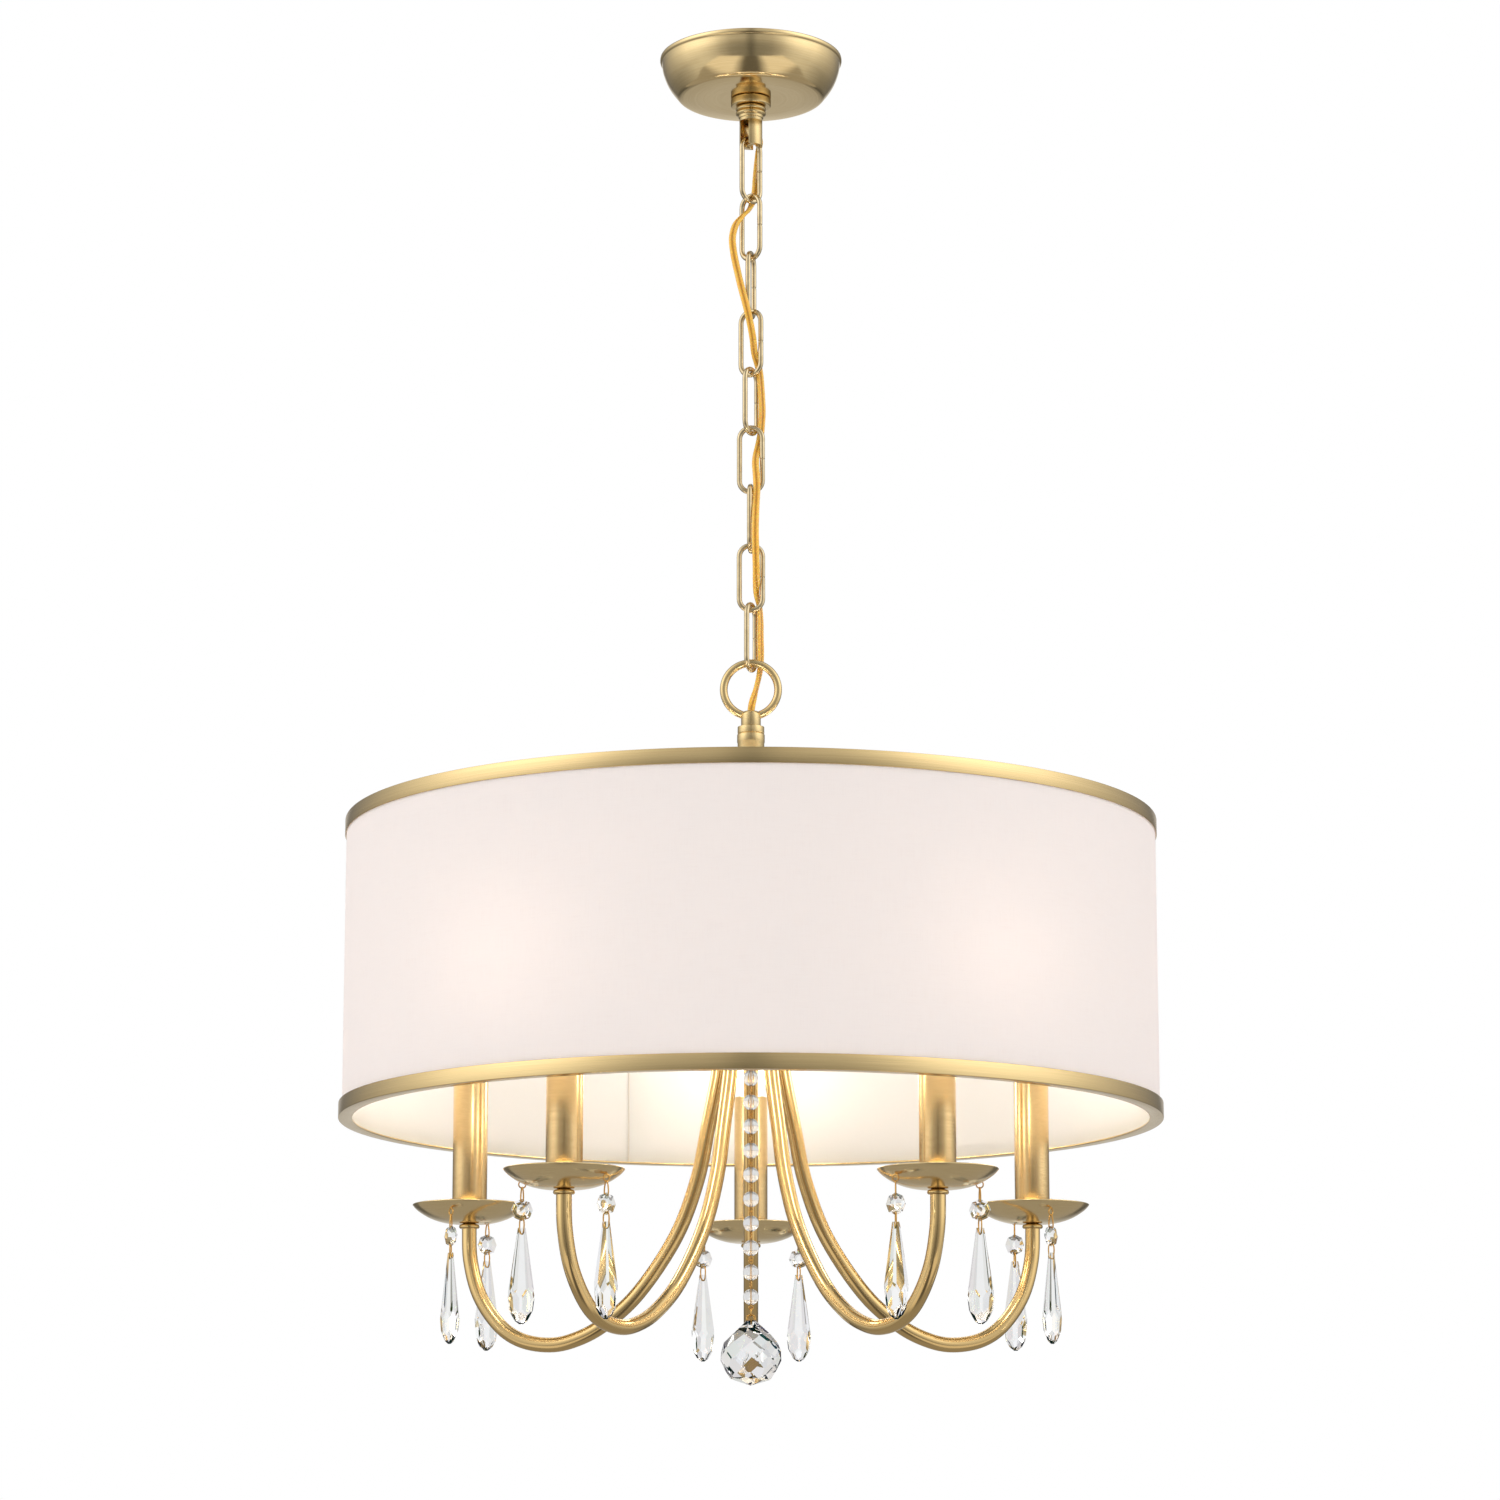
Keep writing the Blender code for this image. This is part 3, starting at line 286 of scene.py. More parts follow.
# %% Satin brass
def brushed_brass(name, colours, roughness, line_width, depth=0.10, stretch=0.0):
    """Stretch draws highlights out along the part's own axis, which must be upright."""
    made, tree, shader = new_finish(name, {"Metallic": 1.0})
    lay = add_node(tree, "ShaderNodeAttribute", {"attribute_name": "lay"})
    where = add_node(tree, "ShaderNodeTexCoord")
    lines = add_node(tree, "ShaderNodeTexNoise", {"Scale": 1.0 / line_width, "Detail": 3.0},
                     [("Vector", lay, "Vector")])
    clouds = add_node(tree, "ShaderNodeTexNoise", {"Scale": 45.0, "Detail": 2.0},
                      [("Vector", where, "Object")])
    tint = ramp(tree, lines, 0, [(0.3, linear(colours[0])), (0.7, linear(colours[1]))])
    tree.links.new(tint.outputs[0], shader.inputs["Base Color"])
    worn = add_node(tree, "ShaderNodeMapRange",
                    {"To Min": roughness - 0.04, "To Max": roughness + 0.05},
                    [("Value", clouds, 0)])
    tree.links.new(worn.outputs[0], shader.inputs["Roughness"])
    relief = add_node(tree, "ShaderNodeBump", {"Strength": depth, "Distance": 0.00005},
                      [("Height", lines, 0)])
    tree.links.new(relief.outputs[0], shader.inputs["Normal"])
    if stretch:
        upright = add_node(tree, "ShaderNodeCombineXYZ", {"Z": 1.0})
        tree.links.new(upright.outputs[0], shader.inputs["Tangent"])
        shader.inputs["Anisotropic"].default_value = stretch
    return made


canopy_brass = brushed_brass("spun_brass_canopy", ("#EED29A", "#F6DCA6"), 0.12, 0.0006, 0.02)
turned_brass = brushed_brass("turned_satin_brass", ("#DFC48C", "#EACF98"), 0.20, 0.0005, 0.06)
tube_brass = brushed_brass("bent_satin_brass_tube", ("#E0BE80", "#EACA8E"), 0.14, 0.0007, 0.02)
sleeve_brass = brushed_brass("candle_sleeve_brass", ("#E2C088", "#ECCC94"), 0.24, 0.0006, 0.012, 0.55)
dish_brass = brushed_brass("spun_brass_dish", ("#F2D8A4", "#F8E0AC"), 0.16, 0.0006, 0.03)
band_brass = brushed_brass("rolled_brass_band", ("#E4C890", "#EED29A"), 0.18, 0.0004, 0.05)
print("brass finishes:", [made.name for made in bpy.data.materials if "brass" in made.name])

# %% [markdown]
# ## Bright brass wire
#
# The chain, the pins and the clips are drawn wire with a bright gold plating. Drawing leaves the
# wire smooth, so it is glossier and paler than the brushed parts, with only a faint mottling
# where the plating is uneven.

# %% Bright wire and zinc-plated steel
def plated(name, dark, light, roughness, spot):
    made, tree, shader = new_finish(name, {"Metallic": 1.0})
    where = add_node(tree, "ShaderNodeTexCoord")
    mottle = add_node(tree, "ShaderNodeTexNoise", {"Scale": 1.0 / spot, "Detail": 4.0},
                      [("Vector", where, "Object")])
    tint = ramp(tree, mottle, 0, [(0.35, linear(dark)), (0.7, linear(light))])
    tree.links.new(tint.outputs[0], shader.inputs["Base Color"])
    haze = add_node(tree, "ShaderNodeMapRange",
                    {"To Min": roughness * 0.8, "To Max": roughness * 1.3},
                    [("Value", mottle, 0)])
    tree.links.new(haze.outputs[0], shader.inputs["Roughness"])
    return made


chain_brass = plated("pale_gold_plated_wire", "#D2BD94", "#E2CEA6", 0.14, 0.004)
pin_brass = plated("gold_plated_pin_wire", "#D8A658", "#E8BC74", 0.18, 0.003)
zinc = plated("zinc_plated_steel", "#A9ABA8", "#C3C5C2", 0.42, 0.006)
print("plated finishes:", chain_brass.name, pin_brass.name, zinc.name)

# %% [markdown]
# ## Clear amber lamp cord
#
# The cord is two stranded copper leads side by side in clear amber PVC. Light goes into the
# plastic and shows the copper in the middle of each lead. The groove between the two leads is
# painted darker, as painted shade in the crease. The first number of the lay is how far a vertex
# is from the groove, to either side, and the colour follows that.

# %% Amber cord finish
cord_amber, tree, shader = new_finish("clear_amber_pvc", {
    "Roughness": 0.22, "IOR": 1.53, "Coat Weight": 0.4, "Coat Roughness": 0.12,
    "Subsurface Weight": 0.2, "Subsurface Scale": 0.001,
})
lay = add_node(tree, "ShaderNodeAttribute", {"attribute_name": "lay"})
split = add_node(tree, "ShaderNodeSeparateXYZ", links=[(0, lay, "Vector")])
aside = add_node(tree, "ShaderNodeMath", {"operation": "ABSOLUTE"}, [(0, split, "X")])
groove_shade = add_node(tree, "ShaderNodeMapRange", {"From Min": 0.0002, "From Max": 0.0012},
                  [("Value", aside, 0)])
where = add_node(tree, "ShaderNodeTexCoord")
strands = add_node(tree, "ShaderNodeTexNoise", {"Scale": 300.0, "Detail": 2.0},
                   [("Vector", where, "Object")])
# Painted shade: the amber is darker along the groove between the two leads.
amber = ramp(tree, groove_shade, 0, [(0.0, linear("#B4811F")), (0.6, linear("#E0A838")),
                               (1.0, linear("#EDBE50"))])
copper = ramp(tree, strands, 0, [(0.35, linear("#E8C070")), (0.65, linear("#FFF4D0"))])
mix = add_node(tree, "ShaderNodeMix", {"data_type": "RGBA", "blend_type": "MULTIPLY", 0: 0.25},
               [(6, amber, 0), (7, copper, 0)])
tree.links.new(mix.outputs[2], shader.inputs["Base Color"])
print("cord finish:", cord_amber.name)

# %% [markdown]
# ## The cord through the chain
#
# The cord leaves the nipple in the ceiling loop, wanders in and out of the links and goes down
# into the cap. It has to bend when a link swings, so it is cut into lengths where it passes the
# middle of a link. A lamp cord is flat, 4.7 by 2.4 mm, and its broad side mostly faces the room.

# %% The cord's route, in millimetres, as in the solid model
CORD_ROUTE = (
    (0.0, 0.0, -3.0), (0.0, 0.0, -20.0), (0.0, 0.0, -37.0), (0.5, 0.4, -43.5), (2.5, 2.0, -48.0),
    (4.4, 3.9, -50.8), (5.6, 5.8, -54.0), (5.8, 7.8, -57.2), (4.5, 9.0, -62.2), (3.6, 9.2, -70.0),
    (3.2, 8.7, -80.0), (2.8, 8.0, -88.8), (1.3, 6.4, -96.5), (-1.5, 1.6, -104.0),
    (-5.4, -3.4, -109.5), (-10.0, -6.0, -116.5), (-12.1, -6.5, -125.4), (-11.4, -6.2, -134.6),
    (-9.8, -6.4, -143.5), (-7.8, -7.6, -153.0), (-5.8, -9.5, -162.0), (-3.6, -11.3, -171.0),
    (-1.0, -10.6, -182.0), (1.2, -8.0, -193.5), (2.4, -2.2, -202.5), (4.6, 1.6, -209.5),
    (5.9, 2.3, -216.0), (6.9, 2.3, -229.0), (7.4, 2.5, -241.0), (6.8, 3.4, -251.5),
    (6.0, 4.0, -258.5), (4.6, 2.2, -265.5), (3.4, -0.8, -271.5), (3.0, -3.6, -278.0),
    (3.6, -5.2, -287.0), (3.8, -5.8, -295.0), (3.4, -7.2, -303.0), (3.0, -9.2, -313.0),
    (2.8, -10.0, -324.0), (3.0, -9.4, -334.0), (3.4, -6.8, -346.0), (3.5, -2.6, -355.5),
    (3.7, 1.9, -363.5), (5.4, 4.0, -370.5), (6.2, 3.8, -380.5), (6.2, 3.6, -391.5),
    (6.4, 4.8, -402.6), (5.9, 5.0, -412.5), (4.2, 4.3, -421.5), (2.3, 2.5, -429.5),
    (0.7, 0.7, -436.2), (0.0, 0.0, -443.0), (0.0, 0.0, -460.0), (0.0, 0.0, -500.0),
    (0.0, 0.0, -540.0), (0.0, 0.0, -564.0),
)
cord_line = smooth(CORD_ROUTE, 8)
LINK_COUNT = 9
FIRST_LINK, LINK_PITCH, LINK_LENGTH = -53.7, 39.4, 46.5


# %% The cord's section, and how its broad side turns on the way down
CORD_WIDTH = 4.7
CORD_THICKNESS = 2.4
CORD_TURNS = ((0, 20), (-50, 30), (-66, 65), (-90, 20), (-104, -50), (-120, -10), (-150, 0),
              (-200, -20), (-215, 20), (-250, 25), (-270, -10), (-300, 0), (-350, -10),
              (-365, 50), (-400, 35), (-425, 60), (-440, 0), (-600, 0))


def twin_section(angle):
    """Two round leads side by side, for a circle of half the cord's width."""
    lead = CORD_THICKNESS / CORD_WIDTH
    waist = 1.0 - 0.35 * math.exp(-(math.cos(angle) / 0.25) ** 2)
    return Vector((math.cos(angle), lead * math.copysign(abs(math.sin(angle)) ** 0.8,
                                                         math.sin(angle)) * waist, 0))


def broad_way(height):
    """The direction of the cord's broad side at this height."""
    for (high, here), (low, there) in zip(CORD_TURNS, CORD_TURNS[1:]):
        if height >= low:
            share = max(0.0, (high - height) / (high - low))
            angle = math.radians(here + (there - here) * share * share * (3 - 2 * share))
            return Vector((math.cos(angle), math.sin(angle), 0))
    return Vector((1, 0, 0))


# %% A flat twin cord, in lengths from one link's middle to the next
middles = [FIRST_LINK - LINK_PITCH * k - LINK_LENGTH / 2 for k in range(LINK_COUNT)]
cuts = ([0] + [min(range(len(cord_line)), key=lambda n: abs(cord_line[n].z - middle))
               for middle in middles] + [len(cord_line) - 1])
cord_total = 0.0
for number, (first, last) in enumerate(zip(cuts, cuts[1:])):
    line = cord_line[first:last + 1]
    shape = swept(line, CORD_WIDTH / 2, sides=28, section=twin_section,
                  wide=lambda n, line=line: broad_way(line[n].z))
    cord_piece = piece("cord_%02d" % number, shape, cord_amber, None, ["lamp_cord"],
                       sharp=70)
    route = [point / 1000 for point in line]
    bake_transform(cord_piece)
    length = sum((b - a).length for a, b in zip(route, route[1:]))
    cord_total += length
print("cord, in all:", round(cord_total, 3), "m")

# %% [markdown]
# ## The ceiling plate
#
# The mounting bar and the threaded nipple are hidden inside the canopy. Their solid shapes are
# right as they are, so they only get the dull, blotchy grey of zinc plating.

# %% Bar and nipple
for name in ("mounting_bar", "ceiling_nipple"):
    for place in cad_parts[name].material_slots:
        place.material = zinc
print("kept from the solid model: mounting_bar, ceiling_nipple")


# %% A wall of even thickness along a profile
def walled(outline, wall):
    """The outline, and the same line again on its inner side, as one closed profile."""
    points = [Vector(point) for point in outline]
    inner = []
    for number, point in enumerate(points):
        ahead = points[min(number + 1, len(points) - 1)] - points[max(number - 1, 0)]
        ahead.normalize()
        inner.append(point + Vector((ahead.y, -ahead.x)) * wall)
    return [tuple(point) for point in points + inner[::-1]]


def curved(outline, steps=5):
    """A smooth profile through (radius, height) points."""
    return [(point.x, point.z) for point in smooth([(r, 0, z) for r, z in outline], steps)]


# %% [markdown]
# ## Canopy
#
# The canopy is a spun steel bowl with a small bead rolled at its rim and a polished flat face.
# The side bulges a little, and the corner between side and face is soft, because the metal was
# pressed over a wooden former.

# %% Canopy and its screw ring
side = curved([(58.9, -3.6), (58.1, -8.96), (56.0, -15.0), (53.3, -20.0), (49.2, -25.4),
               (47.2, -27.2), (44.6, -28.0)])
rim = [(59.3, 0.0), (59.8, -0.3), (60.0, -0.9), (60.0, -2.2), (59.8, -2.9), (59.1, -3.3)]
bowl = spun(walled(rim + side + [(30.0, -28.0), (5.1, -28.0)], 0.9), steps=128)
piece("canopy_bowl", bowl, canopy_brass, "ceiling_mount", ["canopy"], sharp=50)

ring = spun([(13.2, -28.3), (13.2, -33.5), (5.1, -33.5), (5.1, -28.3)], steps=64)
piece("screw_ring", soften(ring, 0.8, segments=4), turned_brass, "ceiling_mount",
      ["canopy_ring"])

# %% [markdown]
# ## The loop that the chain hangs on
#
# A turned piece: two round beads, a neck and a body that is slotted from below. The first link
# sits in the slot on a round bar. The body's two cheeks are a cylinder that is cut by a plane on
# each side of the slot.

# %% Slotted loop
def bead(radius, middle, height, steps=7):
    """Half a bead's outline, from its top to its foot."""
    return [(radius - height / 2 + height / 2 * math.cos(math.radians(a)),
             middle + height / 2 * math.sin(math.radians(a)))
            for a in range(90, -91, -180 // steps)]


SLOT_HALF = 3.35
loop_turn = math.radians(52)
head = spun([(5.1, -33.8)] + bead(10.0, -35.3, 3.0) + bead(10.0, -38.3, 3.0)
            + [(8.2, -39.9), (8.2, -41.6), (7.55, -41.8), (7.55, -43.8), (5.1, -43.8)], steps=64)
across_slot = Vector((-math.sin(loop_turn), math.cos(loop_turn), 0))
cheeks = []
for side in (1, -1):
    cheek = spun([(0.0, -43.6), (7.55, -43.6), (7.55, -60.6), (0.0, -60.6)], steps=64, closed=False)
    cut = bmesh.ops.bisect_plane(cheek, geom=cheek.verts[:] + cheek.edges[:] + cheek.faces[:],
                                 plane_co=across_slot * side * SLOT_HALF / 1000,
                                 plane_no=across_slot * side, clear_inner=True)["geom_cut"]
    bmesh.ops.holes_fill(cheek, edges=[e for e in cut if isinstance(e, bmesh.types.BMEdge)])
    cheeks.append(soften(cheek, 0.7, angle=35, segments=3))
half_bar = across_slot * (SLOT_HALF + 1.0)
bar = swept([Vector((0, 0, -58.8)) - half_bar, Vector((0, 0, -58.8)) + half_bar], 1.4)
piece("slotted_loop", joined(soften(head, 0.25), *cheeks, bar), turned_brass, "ceiling_mount",
      ["canopy_loop"], sharp=30)

# %% [markdown]
# ## Chain
#
# Each link is one piece of wire, bent to an oval with straight sides and closed by a butt joint
# in the middle of one side. The joint isn't welded: it shows as a hair-thin dark line, which is a
# narrow groove in the wire.

# %% Links
LINK_WIDTH, LINK_WIRE = 18.4, 1.7
LINK_TURNS = (39.0, -39.0, 75.5, -31.0, 59.5, -8.0, 83.4, 0.0, 68.4)
bend = LINK_WIDTH / 2 - LINK_WIRE
for number, turn in enumerate(LINK_TURNS):
    line, sizes = [], []
    for middle, start in ((-LINK_WIDTH / 2, -90), (-LINK_LENGTH + LINK_WIDTH / 2, 90)):
        for step in range(15):
            angle = math.radians(start + 180 * step / 14)
            line.append(Vector((bend * math.sin(angle), 0, middle + bend * math.cos(angle))))
            sizes.append(1.0)
    seam = -LINK_LENGTH / 2
    for place, size in ((0.9, 1.0), (0.35, 0.99), (0.18, 0.84), (-0.18, 0.84), (-0.35, 0.99),
                        (-0.9, 1.0)):
        line.insert(15 + len(line) - 30, Vector((bend, 0, seam + place)))
        sizes.insert(15 + len(sizes) - 30, size)
    link = swept(line, LINK_WIRE, sides=20, closed=True, radii=sizes)
    link = moved(link, (0, 0, FIRST_LINK - LINK_PITCH * number), math.radians(turn))
    name = "link_%d" % (number + 1)
    piece(name + "_wire", link, chain_brass, name, ["chain_" + name], sharp=60)
print("links:", len(LINK_TURNS))

# %% [markdown]
# ## Lifting ring, cap and collar
#
# The ring is a bent rod whose ends sit in the sides of a small cap, and the cap is screwed onto a
# turned collar with a groove and a raised band.

# %% Ring, cap, collar and the stem inside it
RING_MIDDLE = -426.7
opening = math.asin(4.95 / 17.5)
rod = swept(circle(17.5, (0, 0, RING_MIDDLE), 72, start=math.pi + opening,
                   sweep=math.tau - 2 * opening), 2.5, sides=24)
piece("lifting_rod", rod, turned_brass, "fixture", ["lifting_ring"])

cap = spun([(2.3, -440.9), (3.6, -440.9)] + curved([(3.6, -440.9), (5.2, -441.5), (6.2, -443.0),
                                                   (6.35, -444.4)], 4)
           + [(6.35, -450.9), (4.3, -450.9), (4.3, -447.1), (2.3, -447.1)], steps=48)
piece("closing_cap", soften(cap, 0.2), turned_brass, "fixture", ["ring_cap"])

collar = spun([(4.3, -451.3), (8.6, -451.3), (8.6, -455.8), (8.0, -455.8), (8.0, -456.4),
               (8.9, -456.4), (8.9, -461.4), (8.6, -462.0), (8.6, -521.8), (4.3, -521.8)], steps=64)
piece("grooved_collar", soften(collar, 0.5, segments=3), turned_brass, "fixture",
      ["cap_collar"])

thread = [(4.0 - 0.25 * (n % 2), -447.4 - 0.6 * n) for n in range(206)]
screw = spun([(2.6, -447.4)] + thread + [(2.6, -571.1)], steps=32)
nut = spun([(4.0, -524.4), (9.0, -524.4), (9.0, -529.4), (4.0, -529.4)], steps=6)
piece("threaded_stem", joined(screw, soften(nut, 0.4)), zinc, "fixture", ["stem"])

# %% [markdown]
# ## Shade frame and bands
#
# Both bands are strips of brass-plated steel, rolled into a circle and folded inward at the edge.
# The upper one carries three spokes that dip to a washer in the middle, where the stem passes.

# %% Upper band with its spokes, and lower band
band = soften(spun([(250.0, -516.1), (258.6, -516.1), (258.6, -525.6), (258.0, -525.6),
                    (258.0, -517.3), (250.0, -517.3)], steps=192), 0.25, segments=2)
washer = soften(spun([(4.3, -522.1), (14.0, -522.1), (14.0, -524.1), (4.3, -524.1)], steps=48), 0.3)
spokes = []
for number in range(3):
    spoke_line = smooth([(0, 9.0, -523.1), (0, 60.0, -523.1), (0, 150.0, -523.1),
                         (0, 230.0, -523.0), (0, 240.0, -521.4), (0, 247.0, -519.3),
                         (0, 251.8, -519.1)], 5)
    spokes.append(moved(swept(spoke_line, 1.8, sides=16), turn=math.tau * number / 3))
piece("upper_band_and_spokes", joined(band, washer, *spokes), band_brass, "fixture",
      ["shade_frame"], sharp=50)

lower = spun([(260.0, -696.6), (260.0, -706.1), (251.1, -706.1), (251.1, -704.9),
              (258.0, -704.9), (258.0, -696.6)], steps=192)
piece("lower_band", soften(lower, 0.35, segments=3), band_brass, "fixture", ["bottom_band"],
      sharp=50)

# %% [markdown]
# ## Shade cloth and liner
#
# The cloth is off-white linen-look fabric, laminated flat to a stiff white liner. Its weave is
# finer than half a millimetre, with thicker threads here and there. The threads are drawn from
# the angle round the drum and the height, so that they run straight up and straight round. Both
# layers let a little of the bulbs' light through.

# %% Cloth and liner finishes
def drum_coordinates(tree, radius):
    """Distance round the drum and height, from the position."""
    where = add_node(tree, "ShaderNodeTexCoord")
    split = add_node(tree, "ShaderNodeSeparateXYZ", links=[(0, where, "Object")])
    angle = add_node(tree, "ShaderNodeMath", {"operation": "ARCTAN2"},
                     [(0, split, "Y"), (1, split, "X")])
    around = add_node(tree, "ShaderNodeMath", {"operation": "MULTIPLY", 1: radius},
                      [(0, angle, 0)])
    return add_node(tree, "ShaderNodeCombineXYZ", links=[("X", around, 0), ("Y", split, "Z")])


def woven(name, shades, thread, through, glow):
    """A plain weave on a drum. Through is the share of light that passes."""
    made, tree, shader = new_finish(name, {"Roughness": 0.85, "Sheen Weight": 0.15})
    flat = drum_coordinates(tree, 0.2577)
    waves = [add_node(tree, "ShaderNodeTexWave",
                      {"bands_direction": way, "Scale": 0.314 / thread, "Distortion": 0.6,
                       "Detail": 1.0, "Detail Scale": 0.5}, [("Vector", flat, 0)])
             for way in ("X", "Y")]
    weave = add_node(tree, "ShaderNodeMath", {"operation": "MULTIPLY"},
                     [(0, waves[0], "Fac"), (1, waves[1], "Fac")])
    slubs = []
    for scale in ((60.0, 2500.0, 1.0), (2500.0, 60.0, 1.0)):
        stretch = add_node(tree, "ShaderNodeMapping", {"Scale": scale}, [("Vector", flat, 0)])
        slubs.append(add_node(tree, "ShaderNodeTexNoise", {"Scale": 1.0, "Detail": 2.0},
                              [("Vector", stretch, 0)]))
    threads = add_node(tree, "ShaderNodeMath", {"operation": "ADD"},
                       [(0, slubs[0], 0), (1, slubs[1], 0)])
    tint = ramp(tree, threads, 0, [(0.75, linear(shades[0])), (1.25, linear(shades[1]))])
    tree.links.new(tint.outputs[0], shader.inputs["Base Color"])
    height = add_node(tree, "ShaderNodeMath", {"operation": "ADD"},
                      [(0, weave, 0), (1, threads, 0)])
    relief = add_node(tree, "ShaderNodeBump", {"Strength": 0.12, "Distance": 0.0001},
                      [("Height", height, 0)])
    tree.links.new(relief.outputs[0], shader.inputs["Normal"])
    passing = add_node(tree, "ShaderNodeBsdfTranslucent", {"Color": linear(glow)})
    blend = add_node(tree, "ShaderNodeMixShader", {0: through}, [(1, shader, 0), (2, passing, 0)])
    tree.links.new(blend.outputs[0], tree.nodes["Material Output"].inputs["Surface"])
    return made


cloth_white = woven("off_white_shade_cloth", ("#F1F0EE", "#F5F5F3"), 0.0006, 0.40, "#FFF2F1")
liner_white = woven("white_shade_liner", ("#F8F7F4", "#FAF9F7"), 0.0012, 0.60, "#FFFCF8")
seam_tape = woven("liner_seam_tape", ("#E6E0D8", "#ECE6DE"), 0.0012, 0.35, "#FFF6EC")
print("shade finishes:", cloth_white.name, liner_white.name, seam_tape.name)

# %% Cloth outside, liner inside with its lapped seam at the back
cloth = spun([(257.7, -517.7), (257.7, -704.5), (257.3, -704.5), (257.3, -517.7)], steps=240)
cloth = piece("shade_cloth", cloth, cloth_white, "fixture", ["shade_drum"], sharp=40)

SEAM_ANGLE = 106.4
LAP = 2.6
wrap = []
for step in range(241):
    angle = math.radians(SEAM_ANGLE + (360.0 + LAP) * step / 240)
    radius = 256.95 - 0.45 * step / 240
    wrap.append(Vector((radius * math.cos(angle), radius * math.sin(angle), -611.1)))


def strip_section(angle):
    """A thin upright rectangle, 186.4 mm high and 0.3 mm thick."""
    return Vector((math.copysign(93.2, math.cos(angle + math.pi / 4)),
                   math.copysign(0.15, math.sin(angle + math.pi / 4)), 0))


liner = swept(wrap, 1.0, sides=4, section=strip_section, wide=lambda number: (0, 0, 1))
piece("shade_liner", liner, liner_white, "fixture", ["shade_drum"], sharp=30)
seam = [Vector((wrap[-1].x, wrap[-1].y, height)) - Vector((wrap[-1].x, wrap[-1].y, 0)) * 0.0007
        for height in (-517.9, -704.3)]
piece("liner_seam", swept(seam, 0.55, sides=12), seam_tape, "fixture", ["shade_drum"],
      sharp=50)

# %% [markdown]
# ## Hub and arms
#
# The hub is a turned dome that the stem screws into. Five tubes leave its underside, sweep down
# and out in one long curve and turn up again under their dishes. The tubes are brushed along
# their length.

# %% Hub
HUB_TOP, HUB_FOOT = -556.1, -592.1
dome = [(12.0 + out * 15.0, HUB_TOP - down * 36.0) for out, down in
        ((0.0, 0.0), (0.0, 0.18), (0.45, 0.30), (0.86, 0.46), (1.0, 0.64), (1.0, 0.90))]
hub = spun([(0.0, -572.0), (4.3, -572.0), (4.3, HUB_TOP)] + dome[:1] + curved(dome[1:-1], 4)
           + dome[-1:]
           + [(26.4, -590.9), (24.9, HUB_FOOT), (0.0, HUB_FOOT)], steps=96, closed=False)
eye = swept(circle(3.5, (0, 0, -595.6), 32, turn=math.pi / 2), 1.0, sides=12, closed=True)
piece("turned_hub", joined(soften(hub, 0.4, angle=40), eye), turned_brass, "fixture", ["hub"],
      sharp=45)

# %% Arms, dishes and candle sleeves
ARM_SHARES = (
    (0.0, 0.0), (0.003, 0.134), (0.012, 0.235), (0.029, 0.336), (0.069, 0.470), (0.110, 0.600),
    (0.191, 0.738), (0.335, 0.876), (0.474, 0.955), (0.594, 0.992), (0.694, 1.0),
    (0.800, 0.984), (0.885, 0.942), (0.958, 0.868), (0.994, 0.780), (1.0, 0.7007),
)
REACH = 190.0
bow = [(17.0 + out * 173.0, 0, HUB_FOOT - down * 251.0) for out, down in ARM_SHARES]
tube_line = smooth([(17.0, 0, HUB_FOOT + 12.0)] + bow, 6)
ferrule = ([(0.0, -767.95)] + bead(6.6, -766.5, 2.9)[::-1]
           + [(4.0, -765.0), (4.0, -751.5), (0.0, -751.5)])
ARM_ANGLES = [math.radians(90 + 72 * number) for number in range(5)]


def place_of(angle, height=0.0, out=REACH, aside=0.0):
    """A point on an arm's own axis: out from the middle and aside along the dish."""
    return Vector((out * math.cos(angle) - aside * math.sin(angle),
                   out * math.sin(angle) + aside * math.cos(angle), height))


for number, angle in enumerate(ARM_ANGLES):
    tag = "_%d" % (number + 1)
    tube = swept(tube_line, 4.75, sides=28, wide=lambda n: (0, 1, 0))
    top = soften(spun(ferrule, steps=32, closed=False), 0.25)
    arm = moved(joined(tube, moved(top, (REACH, 0, 0))), turn=angle)
    piece("swept_arm" + tag, arm, tube_brass, "fixture", ["arm" + tag], sharp=50)
print("arm tube length:", round(sum((b - a).length for a, b in zip(tube_line, tube_line[1:]))))

# %% [markdown]
# ## Dishes
#
# Each dish is spun from thin sheet and comes to a sharp rim. It is smooth and shiny enough to
# mirror the sleeve above it and the tube below it. Two small holes near the rim hold the pins.

# %% Dishes
RIM = -752.7
dish_side = curved([(36.6, RIM), (34.6, RIM - 2.3), (32.28, RIM - 4.2), (28.6, RIM - 6.6),
                    (24.16, RIM - 8.76), (18.5, RIM - 10.6), (12.2, RIM - 11.7), (4.3, RIM - 12.0)], 4)
for number, angle in enumerate(ARM_ANGLES):
    dish = spun(walled(dish_side, 0.8), steps=96)
    piece("spun_dish_%d" % (number + 1), moved(soften(dish, 0.25, angle=60), place_of(angle)),
          dish_brass, "fixture", ["dish_%d" % (number + 1)], sharp=60)

# %% [markdown]
# ## Candles
#
# The sleeve is a plain brushed tube that stands in the dish. Inside it is the lamp holder, and a
# lit candle bulb stands in that, just below the top of the shade.

# %% Sleeves
for number, angle in enumerate(ARM_ANGLES):
    sleeve = spun([(11.15, -667.1), (11.15, -763.3), (10.35, -763.3), (10.35, -667.1)], steps=64)
    piece("sleeve_%d" % (number + 1), moved(soften(sleeve, 0.2), place_of(angle), angle),
          sleeve_brass, "fixture", ["candle_sleeve_%d" % (number + 1)])

